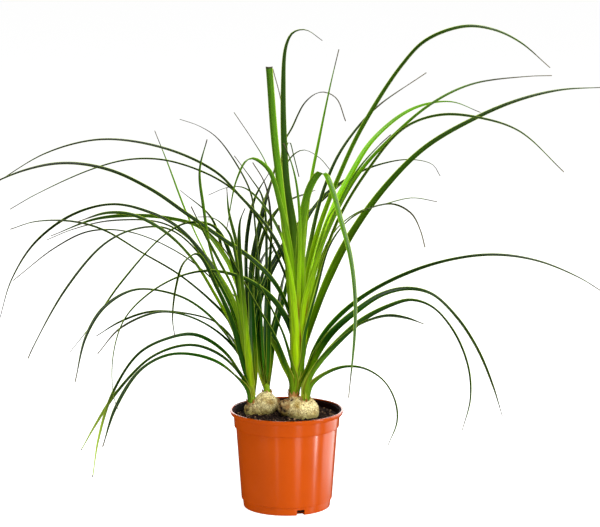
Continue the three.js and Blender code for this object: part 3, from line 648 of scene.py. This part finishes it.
def drawn_curve(stops):
    """A centripetal Catmull-Rom curve through the stops, as many close points."""
    ends = [2 * stops[0] - stops[1], *stops, 2 * stops[-1] - stops[-2]]
    points = []
    for a, b, c, d in zip(ends, ends[1:], ends[2:], ends[3:]):
        t1 = (b - a).length ** 0.5
        t2 = t1 + (c - b).length ** 0.5
        t3 = t2 + (d - c).length ** 0.5
        for i in range(FINE_STEPS):
            t = t1 + (t2 - t1) * i / FINE_STEPS
            ab = a.lerp(b, t / t1)
            bc = b.lerp(c, (t - t1) / (t2 - t1))
            cd = c.lerp(d, (t - t2) / (t3 - t2))
            abc = ab.lerp(bc, t / t2)
            bcd = bc.lerp(cd, (t - t1) / (t3 - t1))
            points.append(abc.lerp(bcd, (t - t1) / (t2 - t1)))
    return points + [stops[-1]]


def even_points(points, spacing):
    """The same line as points at equal steps of about the given spacing."""
    reached = [0.0]
    for near, far in zip(points, points[1:]):
        reached.append(reached[-1] + (far - near).length)
    steps = max(LEAST_STEPS, round(reached[-1] / spacing))
    even = []
    for i in range(steps + 1):
        goal = reached[-1] * i / steps
        k = min(len(points) - 2, max(0, bisect.bisect_right(reached, goal) - 1))
        share = (goal - reached[k]) / (reached[k + 1] - reached[k])
        even.append(points[k].lerp(points[k + 1], share))
    return even


def show(name, data):
    """A new object of the scene, for a mesh, a camera or a light."""
    shown = bpy.data.objects.new(name, data)
    bpy.context.scene.collection.objects.link(shown)
    return shown


def mesh_of(name, bm):
    mesh = bpy.data.meshes.new(name)
    bm.to_mesh(mesh)
    bm.free()
    return mesh


def seat_piece(name, mesh, finish, node, sharp):
    """A finished mesh as a piece: its finish, its smooth and sharp edges and its place in the frame."""
    mesh.materials.clear()
    mesh.materials.append(finish)
    mesh.shade_smooth()
    mesh.set_sharp_from_angle(angle=math.radians(sharp))
    piece = show(name, mesh)
    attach(piece, "root")
    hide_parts(node)
    return piece


def finish_piece(name, bm, finish, node, sharp):
    """Brings a mesh to metres and seats it as a piece."""
    bmesh.ops.scale(bm, vec=(MM, MM, MM), verts=bm.verts)
    bmesh.ops.recalc_face_normals(bm, faces=bm.faces)
    seat_piece(name, mesh_of(name, bm), finish, node, sharp)


def add_turned(bm, profile, steps, centre=Vector((0, 0, 0))):
    """Spins a profile of [radius, height] about an upright axis, and merges it at its seam."""
    verts = [bm.verts.new(centre + Vector((radius, 0, height))) for radius, height in profile]
    edges = [bm.edges.new(pair) for pair in zip(verts, verts[1:])]
    bmesh.ops.spin(
        bm, geom=verts + edges, cent=centre, axis=(0, 0, 1), dvec=(0, 0, 0),
        angle=math.tau, steps=steps, use_merge=True, use_duplicate=False)
    bmesh.ops.remove_doubles(bm, verts=bm.verts, dist=SAME_POINT)


def close_tube(bm, verts, dist):
    """Makes a rolled-up sheet a closed tube: its long edges merge and its ends are filled."""
    bmesh.ops.remove_doubles(bm, verts=verts, dist=dist)
    rims = [e for v in verts if v.is_valid for e in v.link_edges if e.is_boundary]
    bmesh.ops.holes_fill(bm, edges=list(set(rims)), sides=0)


def round_corner(x, z, radius, start, stop, steps=4):
    """Points of an arc about a corner's centre, from one angle to another in degrees."""
    angles = [math.radians(start + (stop - start) * i / steps) for i in range(steps + 1)]
    return [[x + radius * math.cos(a), z + radius * math.sin(a)] for a in angles]


def pot_wall(inset):
    """The wall from its foot to its collar, as [radius, height], this far inside its outer face."""
    return [
        [FOOT_RADIUS - inset, FOOT_HEIGHT + inset],
        [BODY_FOOT_RADIUS - inset, FOOT_HEIGHT + 1 + inset],
        [BODY_TOP_RADIUS - inset, COLLAR_FOOT],
        [COLLAR_RADIUS - 0.9 - inset, COLLAR_FOOT + 1 + inset],
    ]


def pot_profile(inner_edge):
    """Half the pot's section as [radius, height], from the middle of its underside round its rim
    to the middle of its floor."""
    # The raised underside and the foot ring, rounded where it stands, and the ledge over it
    profile = [[0, HOLLOW_DEPTH], [HOLLOW_RADIUS - 0.5, HOLLOW_DEPTH], [HOLLOW_RADIUS + 0.5, 0.3]]
    profile += [[HOLLOW_RADIUS + 1, 0]]
    profile += round_corner(FOOT_RADIUS - FOOT_ROUND, FOOT_ROUND, FOOT_ROUND, -90, 0, 5)
    profile += [[FOOT_RADIUS + 0.8, FOOT_HEIGHT - 0.7]]
    profile += round_corner(FOOT_RADIUS + 1.2, FOOT_HEIGHT - 0.1, LEDGE_ROUND, 180, 100, 3)
    profile += round_corner(BODY_FOOT_RADIUS - BODY_ROUND, FOOT_HEIGHT + 1.1, BODY_ROUND, -80, 0)
    # The body, drawn in by a hair under the collar, and the step out to the collar
    profile += [[BODY_TOP_RADIUS - 0.05, COLLAR_FOOT - 1.4], [BODY_TOP_RADIUS - 0.25, COLLAR_FOOT - 0.6]]
    profile += [[BODY_TOP_RADIUS, COLLAR_FOOT]]
    profile += round_corner(COLLAR_RADIUS - 1.7, COLLAR_FOOT + 0.9, COLLAR_ROUND, -75, 0)
    profile += [[COLLAR_RADIUS, POT_HEIGHT - 2.4]]
    # The rolled rim: up inside its skirt, round its foot, over the top and down the inner wall
    profile += round_corner(LIP_RADIUS - LIP_SKIRT - 0.6, POT_HEIGHT - 2.6, 0.6, 90, 0, 3)
    lip_foot = POT_HEIGHT - LIP_HEIGHT + SKIRT_ROUND
    profile += round_corner(LIP_RADIUS - 2.1, lip_foot, SKIRT_ROUND, 180, 360, 6)
    profile += round_corner(LIP_RADIUS - 1, POT_HEIGHT - 1, 1, -10, 90, 5)
    profile += round_corner(inner_edge + LIP_ROUND, POT_HEIGHT - LIP_ROUND, LIP_ROUND, 90, 170)
    profile += [[inner_edge - 0.15, POT_HEIGHT - 1.3], [COLLAR_RADIUS - 1, POT_HEIGHT - 2]]
    profile += [[COLLAR_RADIUS - WALL, POT_HEIGHT - LIP_HEIGHT], *pot_wall(WALL)[::-1]]
    return profile + [[FOOT_RADIUS - WALL, FLOOR_TOP], [0, FLOOR_TOP]]


def make_pot(finish):
    """One thin moulded shell with a rolled rim, a stepped collar and a foot ring with notches."""
    inner_edge = LIP_RADIUS - LIP_WIDTH
    bm = bmesh.new()
    inside = bm.verts.layers.float.new("inside")
    add_turned(bm, pot_profile(inner_edge), POT_STEPS)
    bmesh.ops.recalc_face_normals(bm, faces=bm.faces)
    for vert in bm.verts:
        radius, height = vert.co.to_2d().length, vert.co.z
        slant = BODY_FOOT_RADIUS + (BODY_TOP_RADIUS - BODY_FOOT_RADIUS) * height / COLLAR_FOOT
        under_rim = height > POT_HEIGHT - 2.1 and radius < inner_edge - 0.1
        in_collar = height > COLLAR_FOOT + 2 and radius < COLLAR_RADIUS - 0.5
        in_body = height > FOOT_HEIGHT + 2 and radius < slant - WALL * 0.7
        vert[inside] = float(under_rim or in_collar or in_body)
    shell = show("pot_shell", mesh_of("pot_shell", bm))
    cutters = bmesh.new()
    for i in range(NOTCHES):
        notch = bmesh.ops.create_cube(cutters, size=1)["verts"]
        bmesh.ops.scale(cutters, vec=(NOTCH_DEPTH, NOTCH_WIDTH, NOTCH_HEIGHT + 2), verts=notch)
        bmesh.ops.translate(cutters, vec=(FOOT_RADIUS - 0.5, 0, NOTCH_HEIGHT / 2 - 1), verts=notch)
        turn = Matrix.Rotation(math.radians(NOTCH_TURN + i * 360 / NOTCHES), 3, "Z")
        bmesh.ops.rotate(cutters, cent=(0, 0, 0), matrix=turn, verts=notch)
    tops = [e for e in cutters.edges if min(e.verts[0].co.z, e.verts[1].co.z) > 1]
    bmesh.ops.bevel(
        cutters, geom=tops, offset=NOTCH_ROUND, offset_type="OFFSET", segments=3, profile=0.5,
        affect="EDGES", material=-1, clamp_overlap=True)
    cutter = show("pot_notches", mesh_of("pot_notches", cutters))
    cut = shell.modifiers.new("notches", "BOOLEAN")
    cut.object = cutter
    cut.operation = "DIFFERENCE"
    cut.solver = "EXACT"
    mesh = bpy.data.meshes.new_from_object(shell.evaluated_get(bpy.context.evaluated_depsgraph_get()))
    bpy.data.objects.remove(shell)
    bpy.data.objects.remove(cutter)
    mesh.transform(Matrix.Scale(MM, 4))
    return seat_piece("pot_shell", mesh, finish, "pot", 50)


def soil_height(x, y):
    """How high the peat's top lies, in gentle crumbly waves that level off at the wall."""
    fade = min(1.0, max(0.0, (SOIL_RADIUS - math.hypot(x, y)) / 5))
    waves = math.sin(0.55 * x + 1.3) * math.cos(0.6 * y) + 0.7 * math.sin(0.93 * x + y)
    crumbs = noise.noise(Vector((x, y, 3)) / 2.6) + 0.6 * noise.noise(Vector((x, y, 9)) / 1.1)
    return SOIL_TOP + fade * (SOIL_BUMP * waves * 0.8 + 0.9 * crumbs)


def lump_reach(point, lump):
    """How far out a point lies in a lump: 0 at its heart and 1 at its skin."""
    away = [((at - middle) / radius) ** 2 for at, middle, radius in zip(point, lump, lump[3:])]
    return math.sqrt(sum(away))


def clear_of_bulbs(point, room):
    """Whether a point lies this far outside every lump of the bulbs, roughly in millimetres."""
    lumps = [lump for bulb in BULBS.values() for lump in bulb]
    return all((lump_reach(point, lump) - 1) * min(lump[3:]) >= room for lump in lumps)


def make_peat(finish):
    """The peat in the pot, with a rough top, and the crumbs and fibres that lie on it."""
    chance = random.Random(11)
    inset = WALL + CLEARANCE
    foot = FLOOR_TOP + CLEARANCE
    profile = [[0, foot], [FOOT_RADIUS - inset, foot], *pot_wall(inset)]
    profile += [[SOIL_RADIUS * (1 - i / SOIL_RINGS), SOIL_TOP] for i in range(SOIL_RINGS + 1)]
    bm = bmesh.new()
    chip = bm.verts.layers.float.new("chip")
    add_turned(bm, profile, SOIL_STEPS)
    for vert in bm.verts:
        if vert.co.z > SOIL_TOP - 1:
            vert.co.z = soil_height(vert.co.x, vert.co.y)
    for _ in range(CRUMBS):
        add_crumb(bm, chip, chance)
    for _ in range(FIBRES):
        add_fibre(bm, chip, chance)
    finish_piece("peat_bed", bm, finish, "soil", 30)


def chance_place(chance, share):
    """A place anywhere on the peat, up to this share of the way to the wall."""
    return polar(SOIL_RADIUS * math.sqrt(chance.random()) * share, chance.uniform(0, math.tau), SOIL_TOP)


def add_crumb(bm, chip, chance):
    """An uneven crumb of peat, half sunk in its top."""
    centre = chance_place(chance, 0.97)
    size = 0.35 + 1.5 * chance.random() ** 2.5
    centre.z = soil_height(centre.x, centre.y) + size * 0.35
    stretch = Vector((chance.uniform(0.7, 1.5), chance.uniform(0.6, 1.1), chance.uniform(0.45, 0.9)))
    turned = chance.uniform(0, math.tau)
    axis = Vector((chance.uniform(-0.5, 0.5), chance.uniform(-0.5, 0.5), 1))
    turn = Matrix.Rotation(turned, 3, axis)
    pale = chance.random() ** 6
    if not clear_of_bulbs(centre, size * 0.3):
        return
    for vert in bmesh.ops.create_icosphere(bm, subdivisions=1, radius=size)["verts"]:
        vert.co *= chance.uniform(0.7, 1.25)
        vert.co = turn @ (vert.co * stretch) + centre
        vert[chip] = pale


def add_fibre(bm, chip, chance):
    """A thin root or straw that lies on the peat, as a tube that tapers to its end."""
    point = chance_place(chance, 0.9)
    heading = chance.uniform(0, math.tau)
    bend = chance.uniform(-0.3, 0.3)
    length = chance.uniform(3, 9)
    thick = chance.uniform(0.1, 0.28)
    pale = chance.uniform(0.1, 0.6)
    if not clear_of_bulbs(point, 1.5):
        return
    made = bmesh.ops.create_grid(bm, x_segments=FIBRE_STEPS, y_segments=FIBRE_SIDES, size=0.5)["verts"]
    line = []
    for i in range(FIBRE_STEPS + 1):
        point.z = soil_height(point.x, point.y) + 0.5
        line.append(point.copy())
        point = point + polar(1, heading + bend * i) * length / FIBRE_STEPS
    for vert in made:
        i = round((vert.co.x + 0.5) * FIBRE_STEPS)
        angle = math.tau * (vert.co.y + 0.5)
        side = polar(1, heading + bend * i + math.pi / 2)
        girth = thick * (1 - 0.75 * (i / FIBRE_STEPS) ** 2)
        vert.co = line[i] + side * girth * math.cos(angle) + Vector((0, 0, girth * math.sin(angle)))
        vert[chip] = pale
    close_tube(bm, made, SAME_POINT / 10)


def outside_lumps(point, lumps):
    """How far a point lies outside lumps that have grown together, in millimetres or so."""
    total = 0.0
    for lump in lumps:
        depth = (1 - lump_reach(point, lump)) * lump[3]
        total += math.exp(min(60.0, depth / GROWN_TOGETHER))
    return -GROWN_TOGETHER * math.log(total)


def make_bulb(name, lumps, finish):
    """Swollen lumps grown into one another, with a cracked and pitted corky skin."""
    bm = bmesh.new()
    bmesh.ops.create_icosphere(bm, subdivisions=6, radius=1)
    # Every point is moved straight out from the bulb's heart until it meets the lumps' skin
    heart = (Vector(lumps[0][:3]) * 3 + Vector(lumps[1][:3])) / 4
    for vert in bm.verts:
        near, far = 0.0, BULB_REACH
        for _ in range(BULB_HALVINGS):
            middle = (near + far) / 2
            if outside_lumps(heart + vert.co * middle, lumps) > 0:
                far = middle
            else:
                near = middle
        vert.co = heart + vert.co * near
    tan = bm.verts.layers.float.new("tan")
    crease_and_hollow_shade = bm.verts.layers.float.new("crease_and_hollow_shade")
    bm.normal_update()
    moves = []
    for vert in bm.verts:
        p = vert.co
        main = 1 - lump_reach(p, lumps[0])
        sides = [(1 - lump_reach(p, lump), share) for lump, share in zip(lumps[1:], NECK_TANS[name])]
        side, brown = max(sides)
        neck = eased(side - main, 0, 0.12) * brown
        # Swellings, dimples and grain of about 9, 3 and 1 mm, and knobs on the necks
        swell = 0.6 * noise.noise(p / 9) + 0.28 * noise.noise(p / 3.2) + 0.14 * noise.noise(p / 1.1)
        knob = noise.noise(p / 3.5 + Vector((7, 0, 0)))
        knobs = neck * (0.9 * knob + 0.5 * noise.noise(p / 1.4))
        crease = 1 - eased(abs(side - main), 0, 0.07)
        vert[tan] = min(1.0, neck * (0.75 + 0.5 * noise.noise(p / 5)))
        # Painted shade in the creases where lumps meet and in the hollows between the necks' knobs
        vert[crease_and_hollow_shade] = min(1.0, max(0.0, 0.6 * crease + 2.6 * max(0.0, -knob) * neck - 0.15))
        moves.append(vert.normal * (swell + knobs - 0.35 * crease))
    for vert, move in zip(bm.verts, moves):
        vert.co += move
    finish_piece(f"{name}_cork", bm, finish, name, 180)


def blade_girth(share, slim, halfway, ends):
    """How much of its drawn width a leaf has at a share of its length."""
    kept = slim * (halfway + (ends - halfway) * eased(share, *GIRTH_ENDS))
    return 1 + (kept - 1) * eased(share, *GIRTH_SETTLES)


def blade_width(width, share, cut):
    """A leaf's width at a share of its length, from its sheath to its fine tip."""
    foot = FOOT_WIDTH + (1 - FOOT_WIDTH) * eased(share, *FOOT_WIDENS)
    if cut:
        return width * foot * (1 - CUT_TAPER * share)
    return max(TIP_WIDTH, width * foot * (1 - share ** TAPER_START) ** TAPER_END)


def blade_section(u, half, clasp, thick):
    """A point of a blade's section: an arc that clasps the stem, folded at the midrib. It gives
    how far the point lies across and up, for the upper face or, with a thickness, the lower."""
    angle = clasp * u
    across = half * math.sin(angle) / clasp
    fold = math.sqrt(u * u + FOLD_ROUND) - FOLD_SINK
    up = half * (1 - math.cos(angle)) / clasp + FOLD * half * fold
    edge = EDGE_THICKNESS + (1 - EDGE_THICKNESS) * (1 - u * u)
    lower = thick * (edge + RIB_THICKNESS * math.exp(-(u / RIB_WIDTH) ** 2))
    return across + lower * math.sin(angle), up - lower * math.cos(angle)


def add_blade(bm, crown, leaf, tone, dry, slim, chance):
    """One leaf as a closed ring of points swept along its route, into a crown's mesh."""
    width, reach, roll, route, *cut = leaf
    base = Vector(crown["base"])
    tip = seen_at(*route[-1], base.y + reach)
    bearing = math.atan2(tip.y - base.y, tip.x - base.x)
    # An older leaf starts lower and further out than a younger one
    young = eased(route[0][1] - base.z, *YOUNG_FEET)
    out, rise = (old + (new - old) * young for old, new in zip(OLD_ROOT, YOUNG_ROOT))
    root = base + polar(crown["stem"][0] * out, bearing, ROOT_RISE * rise)
    stops = [seen_on_plane(root)] + [Vector((x, 0, z)) for x, z in route]
    line = even_points(drawn_curve(stops), BLADE_STEP)
    steps = len(line) - 1
    line = [seen_at(p.x, p.z, root.y + reach * (i / steps) ** LEAN_POWER) for i, p in enumerate(line)]
    flat = polar(1, bearing + math.pi / 2)
    wander = chance.uniform(0, 100)
    hue = chance.random()
    foot_darkness, tip_darkness, darkening_run = AGES_AND_SHADES[tone]
    fade_start, fade = FADES.get(tone, (1, 0))
    older = chance.uniform(-0.06, 0.06)

    rows = []
    run = 0.0
    for i, centre in enumerate(line):
        share = i / steps
        run += (centre - line[max(i - 1, 0)]).length
        along = (line[min(i + 1, steps)] - line[max(i - 1, 0)]).normalized()
        across = (flat - along * flat.dot(along)).normalized()
        sway = SWAY_DEGREES * noise.noise(Vector((wander, run / SWAY_LENGTH, 0))) * eased(run, *SWAY_RUN)
        turn = math.radians(roll * eased(share, *ROLL_RUN) + sway)
        across.rotate(Matrix.Rotation(turn, 3, along))
        half = blade_width(width * blade_girth(share, slim, *crown["girths"]), share, cut) / 2
        half *= 1 + (crown["spread"] - 1) * (1 - eased(run, *FEET_RUN))
        clasp = FREE_CLASP + (CLASP - FREE_CLASP) * (1 - eased(run, *CLASP_RUN))
        thick = min(BLADE_THICKNESS, LEAST_THICKNESS + half * THICKENS)
        rows.append((centre, across, along.cross(across), half, clasp, thick, run))

    layers = {name: bm.verts.layers.float[name] for name in LEAF_LAYERS}
    made = bmesh.ops.create_grid(
        bm, x_segments=steps, y_segments=BLADE_AROUND, size=0.5, calc_uvs=True)["verts"]
    for vert in made:
        centre, across, up, half, clasp, thick, run = rows[round((vert.co.x + 0.5) * steps)]
        # Once round the blade: over its upper face from edge to edge and back under its lower one
        around = vert.co.y + 0.5
        upper = around <= 0.5
        u = 4 * around - 1 if upper else 3 - 4 * around
        face_thick = 0.0 if upper else thick
        if abs(abs(u) - 1) < SAME_POINT:
            face_thick = thick / 2
        sideways, lifted = blade_section(u, half, clasp, face_thick)
        stripe = eased(run, *RUST_STARTS) * (1 - eased(run, *RUST_ENDS)) * (1 - abs(u + RUST_SIDE))
        looks = {
            "run": run * MM,
            "age_and_shade": foot_darkness + (tip_darkness - foot_darkness) * eased(run, 0, darkening_run) + older,
            "dry": dry,
            "hue": hue,
            "pale": fade * eased(run / rows[-1][-1], fade_start, FADE_LENGTH),
            "rust": RUSTS.get(tone, 0) * max(0.0, stripe),
        }
        for name, value in looks.items():
            vert[layers[name]] = value
        vert.co = centre + across * sideways + up * lifted
    close_tube(bm, made, SAME_POINT)


def make_crown(name, crown, finish):
    """A tuft of leaves whose feet clasp a short stem on its bulb."""
    chance = random.Random(name)
    base = Vector(crown["base"])
    radius, height = crown["stem"]
    bm = bmesh.new()
    uv = bm.loops.layers.uv.new("blade")
    layers = {key: bm.verts.layers.float.new(key) for key in LEAF_LAYERS}
    # The stem, from its foot in the bulb to its top between the youngest leaves
    profile = [[0, -ROOT_RISE], [radius - 1.8, -ROOT_RISE], [radius - 1.2, -1], [radius - 1, 1.5],
               [radius - 1.4, height * 0.2], [radius * 0.5, height * 0.4], [0, height * 0.5]]
    add_turned(bm, profile, STEM_STEPS, base)
    for vert in bm.verts:
        rise = vert.co.z - base.z
        vert[layers["run"]] = max(0.0, rise) * MM
        vert[layers["age_and_shade"]] = crown["age_and_shade"]
        vert[layers["pale"]] = 1 - eased(rise, *PALE_FOOT) if name == "right" else 0
        vert[layers["dry"]] = USUAL_DRY_TIP
        vert[layers["hue"]] = 0.5
    for face in bm.faces:
        for loop in face.loops:
            angle = math.atan2(loop.vert.co.y - base.y, loop.vert.co.x - base.x)
            loop[uv].uv = (0.05, 0.75 + 0.1 * math.cos(angle))
    for i, (leaf, tone) in enumerate(zip(crown["leaves"], crown["tones"])):
        dry = crown["dry_tips"].get(i, USUAL_DRY_TIP * chance.uniform(0.5, 1.5))
        add_blade(bm, crown, leaf, tone, dry, crown["slims"].get(i, 1), chance)
    finish_piece(f"leaves_{name}", bm, finish, f"crown_{name}", 60)


def make_scales(name, crown, finish):
    """Dry papery leaf bases round the foot of a crown: thin pointed strips that curl outwards."""
    chance = random.Random(f"scales {name}")
    base = Vector(crown["base"])
    count = crown["scales"]
    bm = bmesh.new()
    hue = bm.verts.layers.float.new("hue")
    for i in range(count):
        angle = math.tau * (i + chance.uniform(-0.3, 0.3)) / count
        reach = crown["stem"][0] + CLEARANCE + chance.uniform(0.1, 0.6)
        left_rise = 1 + crown["left_rise"] * max(0.0, -math.cos(angle + 0.4))
        tall = crown["scale_height"] * chance.uniform(0.3, 1.3) * left_rise + SCALE_LEAST
        broad = chance.uniform(2.2, 4.2)
        curl = chance.uniform(0.0, 1.8)
        tint = crown["straw"] * chance.random()
        made = bmesh.ops.create_grid(
            bm, x_segments=SCALE_SIDES, y_segments=SCALE_STEPS, size=0.5)["verts"]
        for vert in made:
            up = vert.co.y + 0.5
            taper = (1 - up ** 2.2) ** 0.8 if up < 1 else 0.03
            around = angle + vert.co.x * broad * taper / reach
            out = reach + curl * up ** 2 + 0.35 * noise.noise(Vector((i, up * 3, vert.co.x * 3)))
            vert[hue] = tint
            vert.co = base + polar(out, around, tall * up - SCALE_SINK)
        faces = list({face for vert in made for face in vert.link_faces})
        bmesh.ops.recalc_face_normals(bm, faces=faces)
        bmesh.ops.solidify(bm, geom=faces, thickness=SCALE_THICKNESS)
    finish_piece(f"papery_scales_{name}", bm, finish, f"scales_{name}", 60)


def make_camera():
    camera = show("camera", bpy.data.cameras.new("camera"))
    camera.data.sensor_width = SENSOR
    camera.data.lens = SENSOR * FOCAL_PIXELS / PHOTO_WIDTH
    camera.data.clip_end = 100
    camera.location = EYE * MM
    camera.rotation_mode = "QUATERNION"
    camera.rotation_quaternion = (AIM - EYE).to_track_quat("-Z", "Y")
    bpy.context.scene.camera = camera


def make_floor():
    bm = bmesh.new()
    bmesh.ops.create_grid(bm, x_segments=8, y_segments=8, size=FLOOR_SIZE)
    floor = show("paper_floor", mesh_of("paper_floor", bm))
    floor.data.materials.append(finish_of(matt_background_paper))
    # Kept out of the pot's gloss, as black flags round it would
    floor.visible_glossy = False


def add_light(name, azimuth, elevation, distance, size, power, only, shows):
    """A softbox at a bearing from the camera's side, to the right as the camera sees it. It lights
    one collection alone, and shows in its gloss, lights it or does both."""
    light = bpy.data.lights.new(name, "AREA")
    light.shape = "RECTANGLE"
    light.size, light.size_y = size
    light.energy = power
    lamp = show(name, light)
    lift = math.radians(elevation)
    away = polar(math.cos(lift), math.radians(azimuth - 90), math.sin(lift))
    lamp.location = LIT_POINT + away * distance
    lamp.rotation_mode = "QUATERNION"
    lamp.rotation_quaternion = (-away).to_track_quat("-Z", "Y")
    lamp.visible_diffuse = shows != "gloss"
    lamp.visible_glossy = shows != "light"
    lamp.visible_camera = False
    lamp.light_linking.receiver_collection = only


def make_studio(pot):
    """A pale dome over the white paper, a key light on the right and tall strips for the pot."""
    groups = {name: bpy.data.collections.new(name) for name in ("pot_alone", "all_but_the_pot")}
    for group in groups.values():
        group.objects.link(pot)
    groups["all_but_the_pot"].collection_objects[0].light_linking.link_state = "EXCLUDE"
    world = bpy.data.worlds.new("pale_dome")
    world.use_nodes = True
    tree = world.node_tree
    tree.nodes.clear()
    path = add(tree, "LightPath", {}).outputs
    soft = add(tree, "Math", {0: path["Is Diffuse Ray"], 1: 0.16}, operation="MULTIPLY")
    bright = add(tree, "Math", {0: path["Is Camera Ray"], 1: soft}, operation="MAXIMUM")
    dome = add(tree, "Background", {"Color": "#ffffff", "Strength": bright})
    add(tree, "OutputWorld", {"Surface": dome})
    bpy.context.scene.world = world
    bpy.context.scene.view_settings.view_transform = "Standard"
    for name, *setting, group, shows in LIGHTS:
        add_light(name, *setting, groups[group], shows)


make_camera()
make_studio(make_pot(finish_of(moulded_orange_polypropylene)))
make_floor()
make_peat(finish_of(moist_milled_peat))
cork = finish_of(dry_corky_bark)
for bulb, lumps in BULBS.items():
    make_bulb(bulb, lumps, cork)
leaf_finish = finish_of(waxy_leaf_cuticle)
scale_finish = finish_of(dried_leaf_base)
for crown, layout in CROWNS.items():
    make_crown(crown, layout, leaf_finish)
    make_scales(crown, layout, scale_finish)
